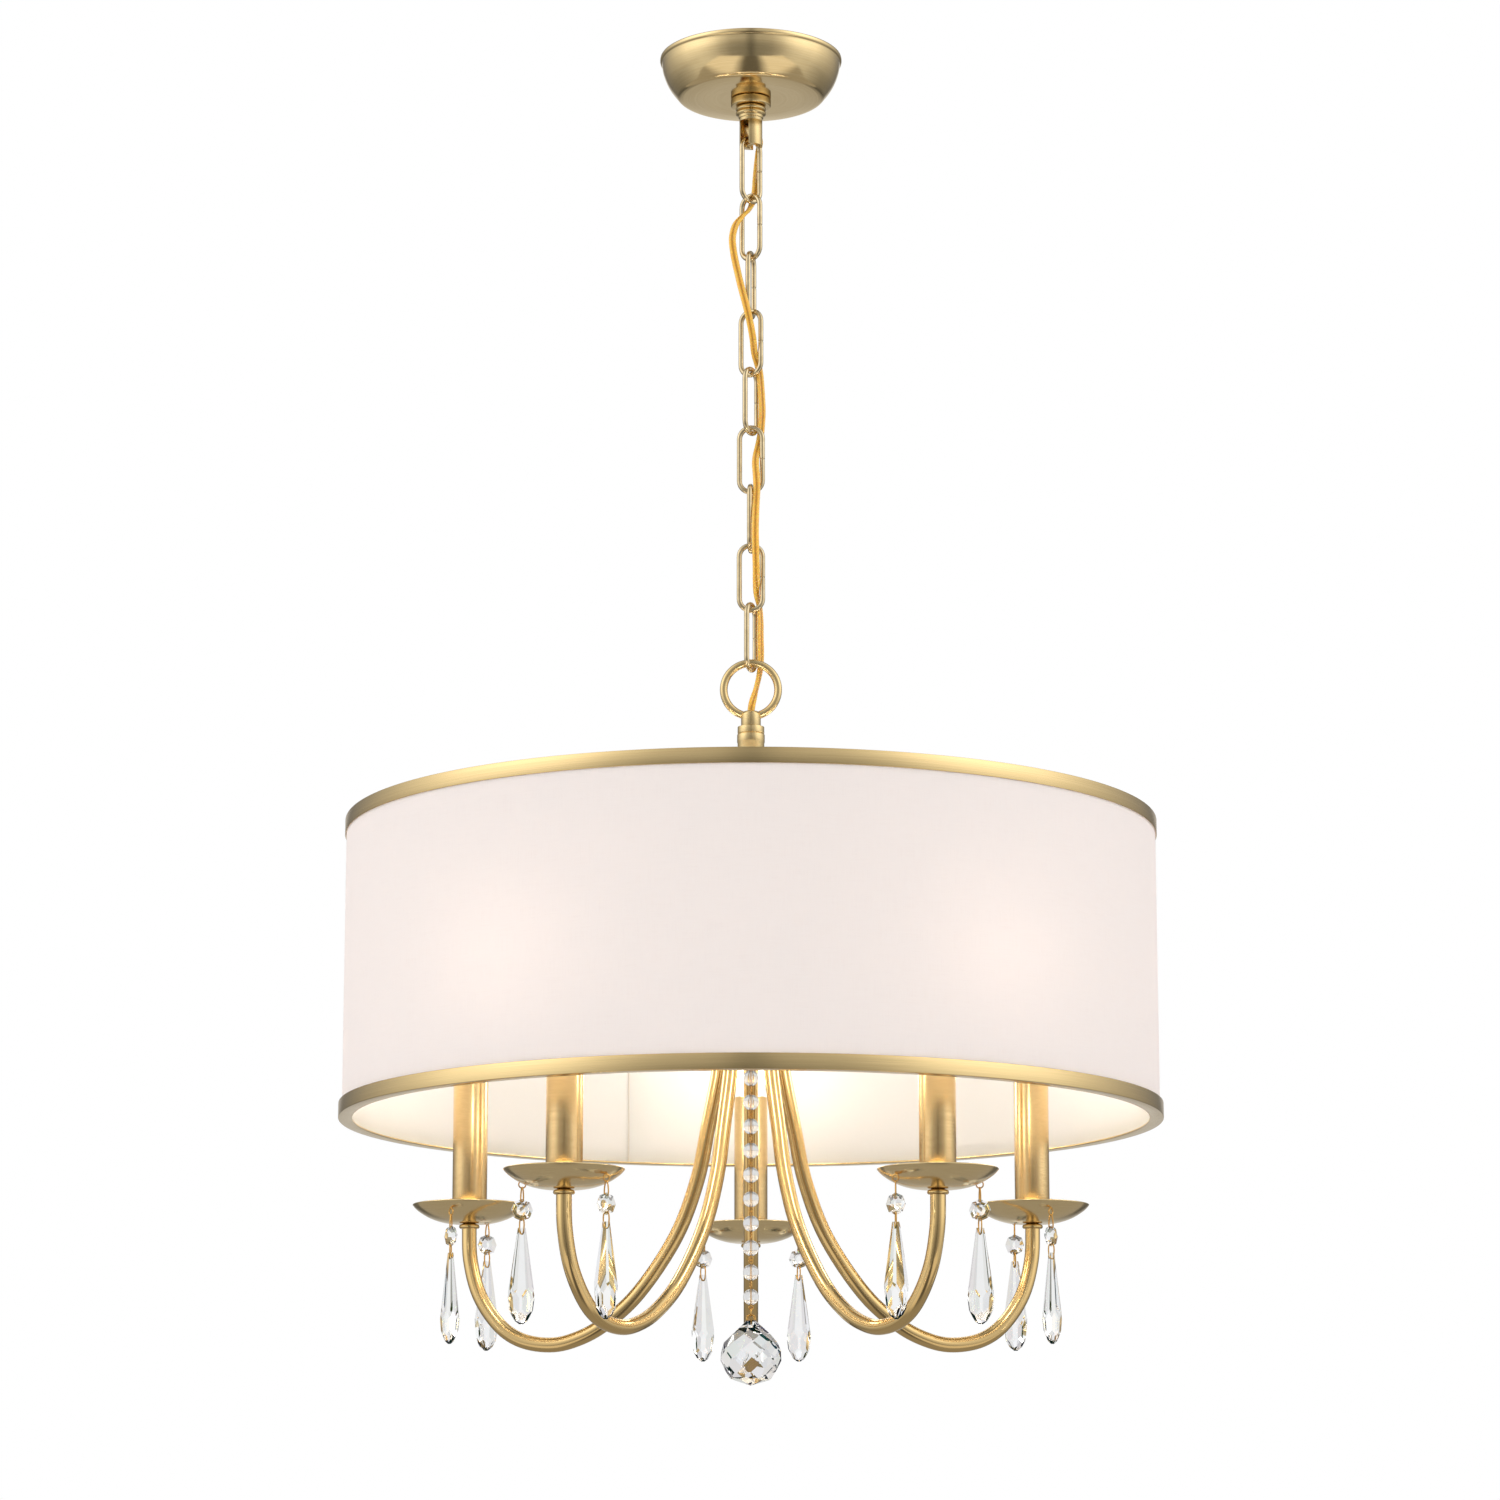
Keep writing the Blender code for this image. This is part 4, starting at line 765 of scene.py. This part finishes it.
# %% Lamp holder and bulb finishes
holder_finish, tree, shader = new_finish("ivory_phenolic_holder", {"IOR": 1.55})
where = add_node(tree, "ShaderNodeTexCoord")
grains = add_node(tree, "ShaderNodeTexNoise", {"Scale": 700.0, "Detail": 3.0},
                  [("Vector", where, "Object")])
tint = ramp(tree, grains, 0, [(0.3, linear("#E6DFCC")), (0.7, linear("#F0EADA"))])
tree.links.new(tint.outputs[0], shader.inputs["Base Color"])
dull = add_node(tree, "ShaderNodeMapRange", {"To Min": 0.4, "To Max": 0.6}, [("Value", grains, 0)])
tree.links.new(dull.outputs[0], shader.inputs["Roughness"])

bulb_finish, tree, shader = new_finish("lit_frosted_glass", {
    "Roughness": 0.35, "IOR": 1.5, "Base Color": linear("#FFF6E6"), "Emission Strength": 9.2,
})
facing = add_node(tree, "ShaderNodeLayerWeight", {"Blend": 0.35})
warm = ramp(tree, facing, "Facing", [(0.0, linear("#FFFFF6")), (0.8, linear("#FFFDEC"))])
tree.links.new(warm.outputs[0], shader.inputs["Emission Color"])
print("lights:", bulb_finish.name)

# %% Lamp holders and bulbs
for number, angle in enumerate(ARM_ANGLES):
    tag = "_%d" % (number + 1)
    holder = spun([(10.05, -668.1), (10.05, -713.1), (6.2, -719.1), (6.2, -763.6), (4.3, -763.6),
                   (4.3, -692.1), (6.3, -692.1), (6.3, -668.1)], steps=48)
    piece("holder" + tag, moved(soften(holder, 0.4), place_of(angle)), holder_finish, "fixture",
          ["lamp_holder" + tag])
    screw = [(5.6 + 0.4 * math.sin(n * math.pi / 4), -691.0 + 0.5 * n) for n in range(44)]
    base = spun([(0.0, -691.8), (3.0, -691.8), (5.0, -691.2)] + screw + [(6.0, -668.6), (0.0, -667.0)],
                steps=32, closed=False)
    piece("bulb_base" + tag, moved(base, place_of(angle)), pin_brass, "fixture", ["bulb" + tag])
    flame = curved([(6.0, -668.0), (6.2, -664.5), (7.96, -663.7), (10.83, -651.8), (15.2, -636.4),
                    (17.5, -621.0), (15.89, -607.0), (11.3, -597.9), (5.0, -596.0)], 4)
    glass = spun([(0.0, -668.0)] + flame + [(0.0, -595.8)], steps=48, closed=False)
    piece("bulb_glass" + tag, moved(glass, place_of(angle)), bulb_finish, "fixture",
          ["bulb" + tag], sharp=60)

# %% [markdown]
# ## Cut crystal
#
# The pendants, the beads and the ball are clear lead-free crystal. Each facet is ground flat on a
# wheel, so the shapes are made the same way: one plane after another cuts a block, row by row.
# The cut pieces are shaded flat. Real crystal splits light into colours. Splitting it in the
# shader would need three kinds of glass at once, so a thin clear film on the surface gives the
# faint coloured flashes instead.

# %% Crystal finish
def crystal(name, tint, film):
    """Clear glass. Film is the thickness of its colour-giving surface layer, in nanometres."""
    made, tree, shader = new_finish(name, {
        "Transmission Weight": 1.0, "IOR": 1.54, "Thin Film Thickness": film,
        "Thin Film IOR": 1.38,
    })
    where = add_node(tree, "ShaderNodeTexCoord")
    smears = add_node(tree, "ShaderNodeTexNoise", {"Scale": 120.0, "Detail": 3.0},
                      [("Vector", where, "Object")])
    haze = add_node(tree, "ShaderNodeMapRange", {"From Min": 0.45, "From Max": 0.75,
                                                 "To Min": 0.0, "To Max": 0.03},
                    [("Value", smears, 0)])
    tree.links.new(haze.outputs[0], shader.inputs["Roughness"])
    body = ramp(tree, smears, 0, [(0.3, linear(tint[0])), (0.7, linear(tint[1]))])
    tree.links.new(body.outputs[0], shader.inputs["Base Color"])
    return made


cut_crystal = crystal("cut_crystal", ("#FAFAF8", "#FFFFFF"), 420.0)
round_crystal = crystal("polished_crystal_bead", ("#F8F8F8", "#FFFFFF"), 0.0)
print("crystal finishes:", cut_crystal.name, round_crystal.name)


# %% Grinding flats on a block
def ground(rows, size, middle=0.0, squash=1.0):
    """A cut stone in millimetres. Size and middle are those of the block it is cut from.

    A row of flats is (count, first one's place in steps, tilt up in degrees, out, height).
    """
    block = bmesh.new()
    bmesh.ops.create_cube(block, size=size / 1000)
    bmesh.ops.translate(block, verts=block.verts, vec=(0, 0, middle / 1000))
    for count, start, tilt, out, height in rows:
        up = math.radians(tilt)
        for step in range(count):
            around = math.tau * (step + start) / count
            away = Vector((math.cos(around), math.sin(around), 0))
            way = away * math.cos(up) + Vector((0, 0, math.sin(up)))
            whole = block.verts[:] + block.edges[:] + block.faces[:]
            cut = bmesh.ops.bisect_plane(block, geom=whole, dist=1e-6, plane_no=way,
                                         plane_co=(away * out + Vector((0, 0, height))) / 1000,
                                         clear_outer=True)["geom_cut"]
            rim_edges = [part for part in cut if isinstance(part, bmesh.types.BMEdge)]
            if rim_edges:
                bmesh.ops.holes_fill(block, edges=rim_edges, sides=0)
    bmesh.ops.scale(block, verts=block.verts, vec=(squash, 1, 1))
    bmesh.ops.recalc_face_normals(block, faces=block.faces)
    return block


# %% [markdown]
# ## Pendants
#
# Two pendants hang from each dish. A pin with a round head drops through the dish and ends in an
# eye. A wire clip joins the eye to an octagon bead, and a second clip joins the bead to the long
# drop. The octagon has a small flat table on both faces and two rows of facets round it. The drop
# has eight long facets that end in points, and three rows of short ones at its blunt foot.

# %% One pendant's crystal, measured from the pin's hole
OCTAGON_DROP, DROP_TOP, DROP_LENGTH = 18.6, -29.3, 57.5
octagon_rows = [(8, 0.5, 0.0, 6.1, 0.0)]
for side in (1, -1):
    octagon_rows += [(8, 0.5, 57.0 * side, 6.1, 0.5 * side), (8, 0.0, 50.0 * side, 5.3, 1.75 * side),
                     (1, 0.0, 90.0 * side, 0.0, 3.25 * side)]
DROP_ROWS = ((8, 0.0, 7.8, 3.1, 0.10), (8, 0.5, -6.0, 7.35, 0.74), (8, 0.0, -28.0, 6.2, 0.885),
             (8, 0.5, -52.0, 4.4, 0.955), (1, 0.0, 90.0, 0.0, 0.0), (1, 0.0, -90.0, 0.0, 1.0))
drop_rows = [row[:4] + (DROP_TOP - DROP_LENGTH * row[4],) for row in DROP_ROWS]


def clip(top, foot, wide_top, wide_foot, turn):
    """A closed wire loop, narrow at one end, in an upright plane."""
    line = []
    for number in range(28):
        angle = math.tau * number / 28
        up = (1 + math.cos(angle)) / 2
        wide = wide_foot + (wide_top - wide_foot) * up
        side = wide * math.copysign(abs(math.sin(angle)) ** 0.7, math.sin(angle))
        line.append((side * math.cos(turn), side * math.sin(turn), foot + (top - foot) * up))
    return swept(line, 0.45, sides=10, closed=True)


# %% Pins, clips and crystals in place
TWISTS = (-8.0, 25.0, 30.0, -52.0, 12.0, 38.0, -34.0, -12.0, 50.0, -28.0)
names = ["%d%s" % (number + 1, side) for number in range(5) for side in "ab"]
for number, (tag, twist) in enumerate(zip(names, TWISTS)):
    place = place_of(ARM_ANGLES[number // 2], -756.68, aside=32.0 * (-1, 1)[number % 2])
    turn = math.radians(twist) - math.pi / 2
    octagon = moved(ground(octagon_rows, 20.0), (0, 0, -OCTAGON_DROP), math.pi / 2, "Y")
    drop = ground(drop_rows, 62.0, middle=DROP_TOP - DROP_LENGTH / 2, squash=9.6 / 15.7)
    glass = joined(octagon, drop)
    piece("crystals_" + tag, moved(glass, place, turn), cut_crystal, "pendant_" + tag,
          ["pendant_" + tag], sharp=None)
    pin = spun([(0.0, 5.2), (0.9, 4.9), (1.35, 4.1), (1.35, 3.5), (0.9, 2.7), (0.5, 2.5),
                (0.5, -0.9), (0.0, -1.0)], steps=16, closed=False)
    loop = swept(circle(2.15, (0, 0, -3.2), 24, turn=math.pi / 2), 0.42, sides=10, closed=True)
    upper = clip(-4.9, -13.9, 0.8, 1.7, 0.5)
    lower = clip(-23.4, -33.2, 2.0, 1.5, 0.7)
    piece("pins_" + tag, moved(joined(pin, loop, upper, lower), place, turn), pin_brass,
          "pendant_" + tag, ["pendant_" + tag], sharp=60)
print("pendants:", len(names))

# %% [markdown]
# ## Bead strand
#
# Fourteen round beads hang in the middle of the arms. A wire runs through each bead and is bent
# to an eye at both ends, and each eye holds the next one. The hole through the bead is part of
# the glass, because it shows as a pair of upright lines.

# %% Beads and their wires
FIRST_BEAD, BEAD_PITCH, BEAD_COUNT, BEAD = -616.9, 15.33, 14, 5.0
HOLE = 0.85
arc_start = math.asin(HOLE / BEAD)
beads, wires = [], []
top_eye = swept(circle(2.4, (0, 0, -599.5), 28), 0.7, sides=12, closed=True)
lead = swept([(0, 0, -601.9), (0, 0, -606.0), (0, 0, FIRST_BEAD + 7.9)], 0.6, sides=12)
for number in range(BEAD_COUNT):
    middle = FIRST_BEAD - BEAD_PITCH * number
    arc = [(BEAD * math.sin(a), middle + BEAD * math.cos(a)) for a in
           (arc_start + (math.pi - 2 * arc_start) * step / 24 for step in range(25))]
    beads.append(spun(arc, steps=40))
    wires.append(swept([(0, 0, middle + 5.4), (0, 0, middle), (0, 0, middle - 5.4)], 0.4, sides=10))
    for side in (1, -1):
        turn = math.pi / 2 * ((number + (side < 0)) % 2) + 0.4
        wires.append(swept(circle(1.3, (0, 0, middle + side * 6.8), 20, turn=turn), 0.45,
                           sides=10, closed=True))
tail = swept([(0, 0, FIRST_BEAD - BEAD_PITCH * 13 - 7.6), (0, 0, -823.4)], 0.6, sides=12)
tail_eye = swept(circle(2.4, (0, 0, -825.7), 28, turn=math.pi / 2), 0.7, sides=12, closed=True)
piece("round_beads", joined(*beads), round_crystal, "strand", ["bead_strand"])
piece("bead_wires", joined(top_eye, lead, *wires, tail, tail_eye), pin_brass, "strand",
      ["bead_strand"], sharp=60)
print("beads:", BEAD_COUNT)

# %% [markdown]
# ## Crystal ball
#
# The ball is cut with six rows of eight flat facets, and each row is turned by half a step from
# the one above, so the facets become diamonds. The top row is steeper and makes a blunt cone, and
# a hole for the pin is drilled into its flat end.

# %% Ball, its drilled hole and its pin
BALL_MIDDLE = -852.4
BALL_TURN = 0.16
BALL_ROWS = ((46.0, 17.29), (32.0, 17.35), (10.0, 18.15), (-12.0, 18.3), (-31.0, 18.1),
             (-71.3, 18.09))
ball_rows = [(8, 0.5 * (row % 2) + BALL_TURN, tilt, deep * math.cos(math.radians(tilt)),
              BALL_MIDDLE + deep * math.sin(math.radians(tilt)))
             for row, (tilt, deep) in enumerate(BALL_ROWS)]
ball_rows.append((1, 0.0, 90.0, 0.0, BALL_MIDDLE + 21.9))
ball = ground(ball_rows, 52.0, middle=BALL_MIDDLE)
end_face = max(ball.faces, key=lambda face: face.calc_center_median().z)
bmesh.ops.inset_individual(ball, faces=[end_face], thickness=0.0006)
drilled = bmesh.ops.extrude_discrete_faces(ball, faces=[end_face])["faces"]
bmesh.ops.translate(ball, verts=drilled[0].verts, vec=(0, 0, -0.005))
print("open edges on the ball:", sum(not edge.is_manifold for edge in ball.edges))
piece("faceted_ball", ball, cut_crystal, "ball", ["crystal_ball"], sharp=None)
ball_eye = swept(circle(2.4, (0, 0, -829.8), 28), 0.7, sides=12, closed=True)
ball_pin = swept([(0, 0, -831.9), (0, 0, -834.0), (0, 0, -835.3)], 0.7, sides=12)
piece("ball_pin", joined(ball_eye, ball_pin), pin_brass, "ball", ["crystal_ball"],
      sharp=60)

# %% [markdown]
# ## Studio
#
# The photograph was taken against white, between two tall soft lights, with a darker room behind
# the camera. The world repeats that: the camera sees white, matt surfaces get one even light, and
# shiny ones see a bright strip on either side and a darker middle. The floor is plain and pale,
# as far below the lamp as in a room, but in reflections it shows a painted reflection: a dim glow
# with brighter panels to either side of a darker middle.

# %% Floor
work = bmesh.new()
bmesh.ops.create_grid(work, x_segments=1, y_segments=1, size=3.5)
bmesh.ops.translate(work, verts=work.verts, vec=(0, 0, -2.6))
floor_mesh = bpy.data.meshes.new("floor")
work.to_mesh(floor_mesh)
work.free()
floor_finish, tree, shader = new_finish("pale_floor_painted_reflection", {"Roughness": 0.9})
where = add_node(tree, "ShaderNodeTexCoord")
grain = add_node(tree, "ShaderNodeTexNoise", {"Scale": 3.0}, [("Vector", where, "Object")])
pale = ramp(tree, grain, 0, [(0.3, linear("#CFCCC8")), (0.7, linear("#D5D2CE"))])
tree.links.new(pale.outputs[0], shader.inputs["Base Color"])
# Glossy rays see a painted reflection instead of the floor: a dim glow with brighter panels to the
# left and right and a darker middle, on the side towards the camera. It paints soft highlights into
# the canopy.
across = add_node(tree, "ShaderNodeSeparateXYZ", links=[(0, where, "Object")])
aside = add_node(tree, "ShaderNodeMath", {"operation": "ABSOLUTE"}, [(0, across, "X")])
painted_reflection_panels = add_node(tree, "ShaderNodeMapRange", {"From Min": 0.45, "From Max": 1.1,
                                               "To Min": -0.65, "To Max": 1.45},
                  [("Value", aside, 0)])
painted_reflection_fade = add_node(tree, "ShaderNodeMapRange", {"From Min": -0.6, "From Max": -1.2},
                [("Value", across, "Y")])
painted_reflection_level = add_node(tree, "ShaderNodeMath", {"operation": "MULTIPLY_ADD", 2: 1.0},
                 [(0, painted_reflection_panels, 0), (1, painted_reflection_fade, 0)])
painted_reflection_glow = add_node(tree, "ShaderNodeEmission", {"Color": linear("#9F9C98")}, [("Strength", painted_reflection_level, 0)])
path = add_node(tree, "ShaderNodeLightPath")
either = add_node(tree, "ShaderNodeMixShader", links=[(0, path, "Is Glossy Ray"), (1, shader, 0),
                                                      (2, painted_reflection_glow, 0)])
tree.links.new(either.outputs[0], tree.nodes["Material Output"].inputs["Surface"])
floor_mesh.materials.append(floor_finish)
floor = bpy.data.objects.new("floor", floor_mesh)
bpy.context.collection.objects.link(floor)


# %% World
def math_node(operation, first, second=None):
    """A maths step on (node, output) pairs or plain numbers."""
    node = add_node(tree, "ShaderNodeMath", {"operation": operation})
    for number, value in enumerate((first, second)):
        if isinstance(value, tuple):
            tree.links.new(value[0].outputs[value[1]], node.inputs[number])
        elif value is not None:
            node.inputs[number].default_value = value
    return node, 0


world = bpy.data.worlds.new("studio")
world.use_nodes = True
bpy.context.scene.world = world
tree = world.node_tree
tree.nodes.clear()
way = add_node(tree, "ShaderNodeTexCoord")
split = add_node(tree, "ShaderNodeSeparateXYZ", links=[(0, way, "Generated")])
behind = math_node("MULTIPLY", (split, "Y"), -1.0)
azimuth = math_node("ARCTAN2", (split, "X"), behind)
share = math_node("DIVIDE", math_node("ABSOLUTE", azimuth), math.pi)


def grey_ramp(source, stops):
    """A grey ramp through (position, brightness) stops."""
    return ramp(tree, source[0], source[1], [(at, (v, v, v, 1.0)) for at, v in stops])


STRIPS = ((0.0, 0.16), (0.02, 0.21), (0.045, 0.31), (0.10, 0.34), (0.15, 0.38), (0.22, 0.56),
          (0.27, 0.76), (0.33, 0.92), (0.40, 0.97), (0.50, 0.85), (0.58, 0.60), (0.68, 0.38),
          (0.78, 0.22), (0.88, 0.12), (0.95, 0.5), (1.0, 0.65))
UPWARD = ((0.0, 0.28), (0.35, 0.30), (0.45, 0.42), (0.55, 0.56), (0.62, 0.62), (0.72, 0.75),
          (0.86, 0.6), (1.0, 0.4))
sides = grey_ramp(share, STRIPS)
height = math_node("MULTIPLY_ADD", (split, "Z"), 0.5)
height[0].inputs[2].default_value = 0.5
levels = grey_ramp(height, UPWARD)
studio = math_node("MULTIPLY", math_node("MULTIPLY", (sides, 0), (levels, 0)), 2.4)
path = add_node(tree, "ShaderNodeLightPath")
WHITE = (1.0, 1.0, 1.0, 1.0)
shiny = add_node(tree, "ShaderNodeBackground", {"Color": WHITE},
                 [("Strength", studio[0], 0)])
even = add_node(tree, "ShaderNodeBackground", {"Color": WHITE, "Strength": 1.08})
white = add_node(tree, "ShaderNodeBackground", {"Color": WHITE, "Strength": 1.0})
clear = math_node("MULTIPLY_ADD", studio, 0.30)
clear[0].inputs[2].default_value = 0.68
seen_through = add_node(tree, "ShaderNodeBackground", {"Color": WHITE},
                        [("Strength", clear[0], 0)])
mixed = add_node(tree, "ShaderNodeMixShader", links=[(0, path, "Is Glossy Ray"), (1, even, 0),
                                                     (2, shiny, 0)])
mixed = add_node(tree, "ShaderNodeMixShader", links=[(0, path, "Is Transmission Ray"),
                                                     (1, mixed, 0), (2, seen_through, 0)])
mixed = add_node(tree, "ShaderNodeMixShader", links=[(0, path, "Is Camera Ray"), (1, mixed, 0),
                                                     (2, white, 0)])
add_node(tree, "ShaderNodeOutputWorld", links=[("Surface", mixed, 0)])
print("world nodes:", len(tree.nodes))

# %% Soft lights
for name, place, size, power in (("left_light", (-2.9, -1.0, 0.5), 1.6, 15.0),
                                 ("right_light", (2.4, -1.8, 0.4), 1.6, 10.0)):
    lamp = bpy.data.lights.new(name, "AREA")
    lamp.size = size
    lamp.energy = power
    light = bpy.data.objects.new(name, lamp)
    light.location = place
    light.visible_glossy = False
    light.rotation_euler = (Vector((0, 0, -0.5)) - Vector(place)).to_track_quat("-Z", "Y").to_euler()
    bpy.context.collection.objects.link(light)
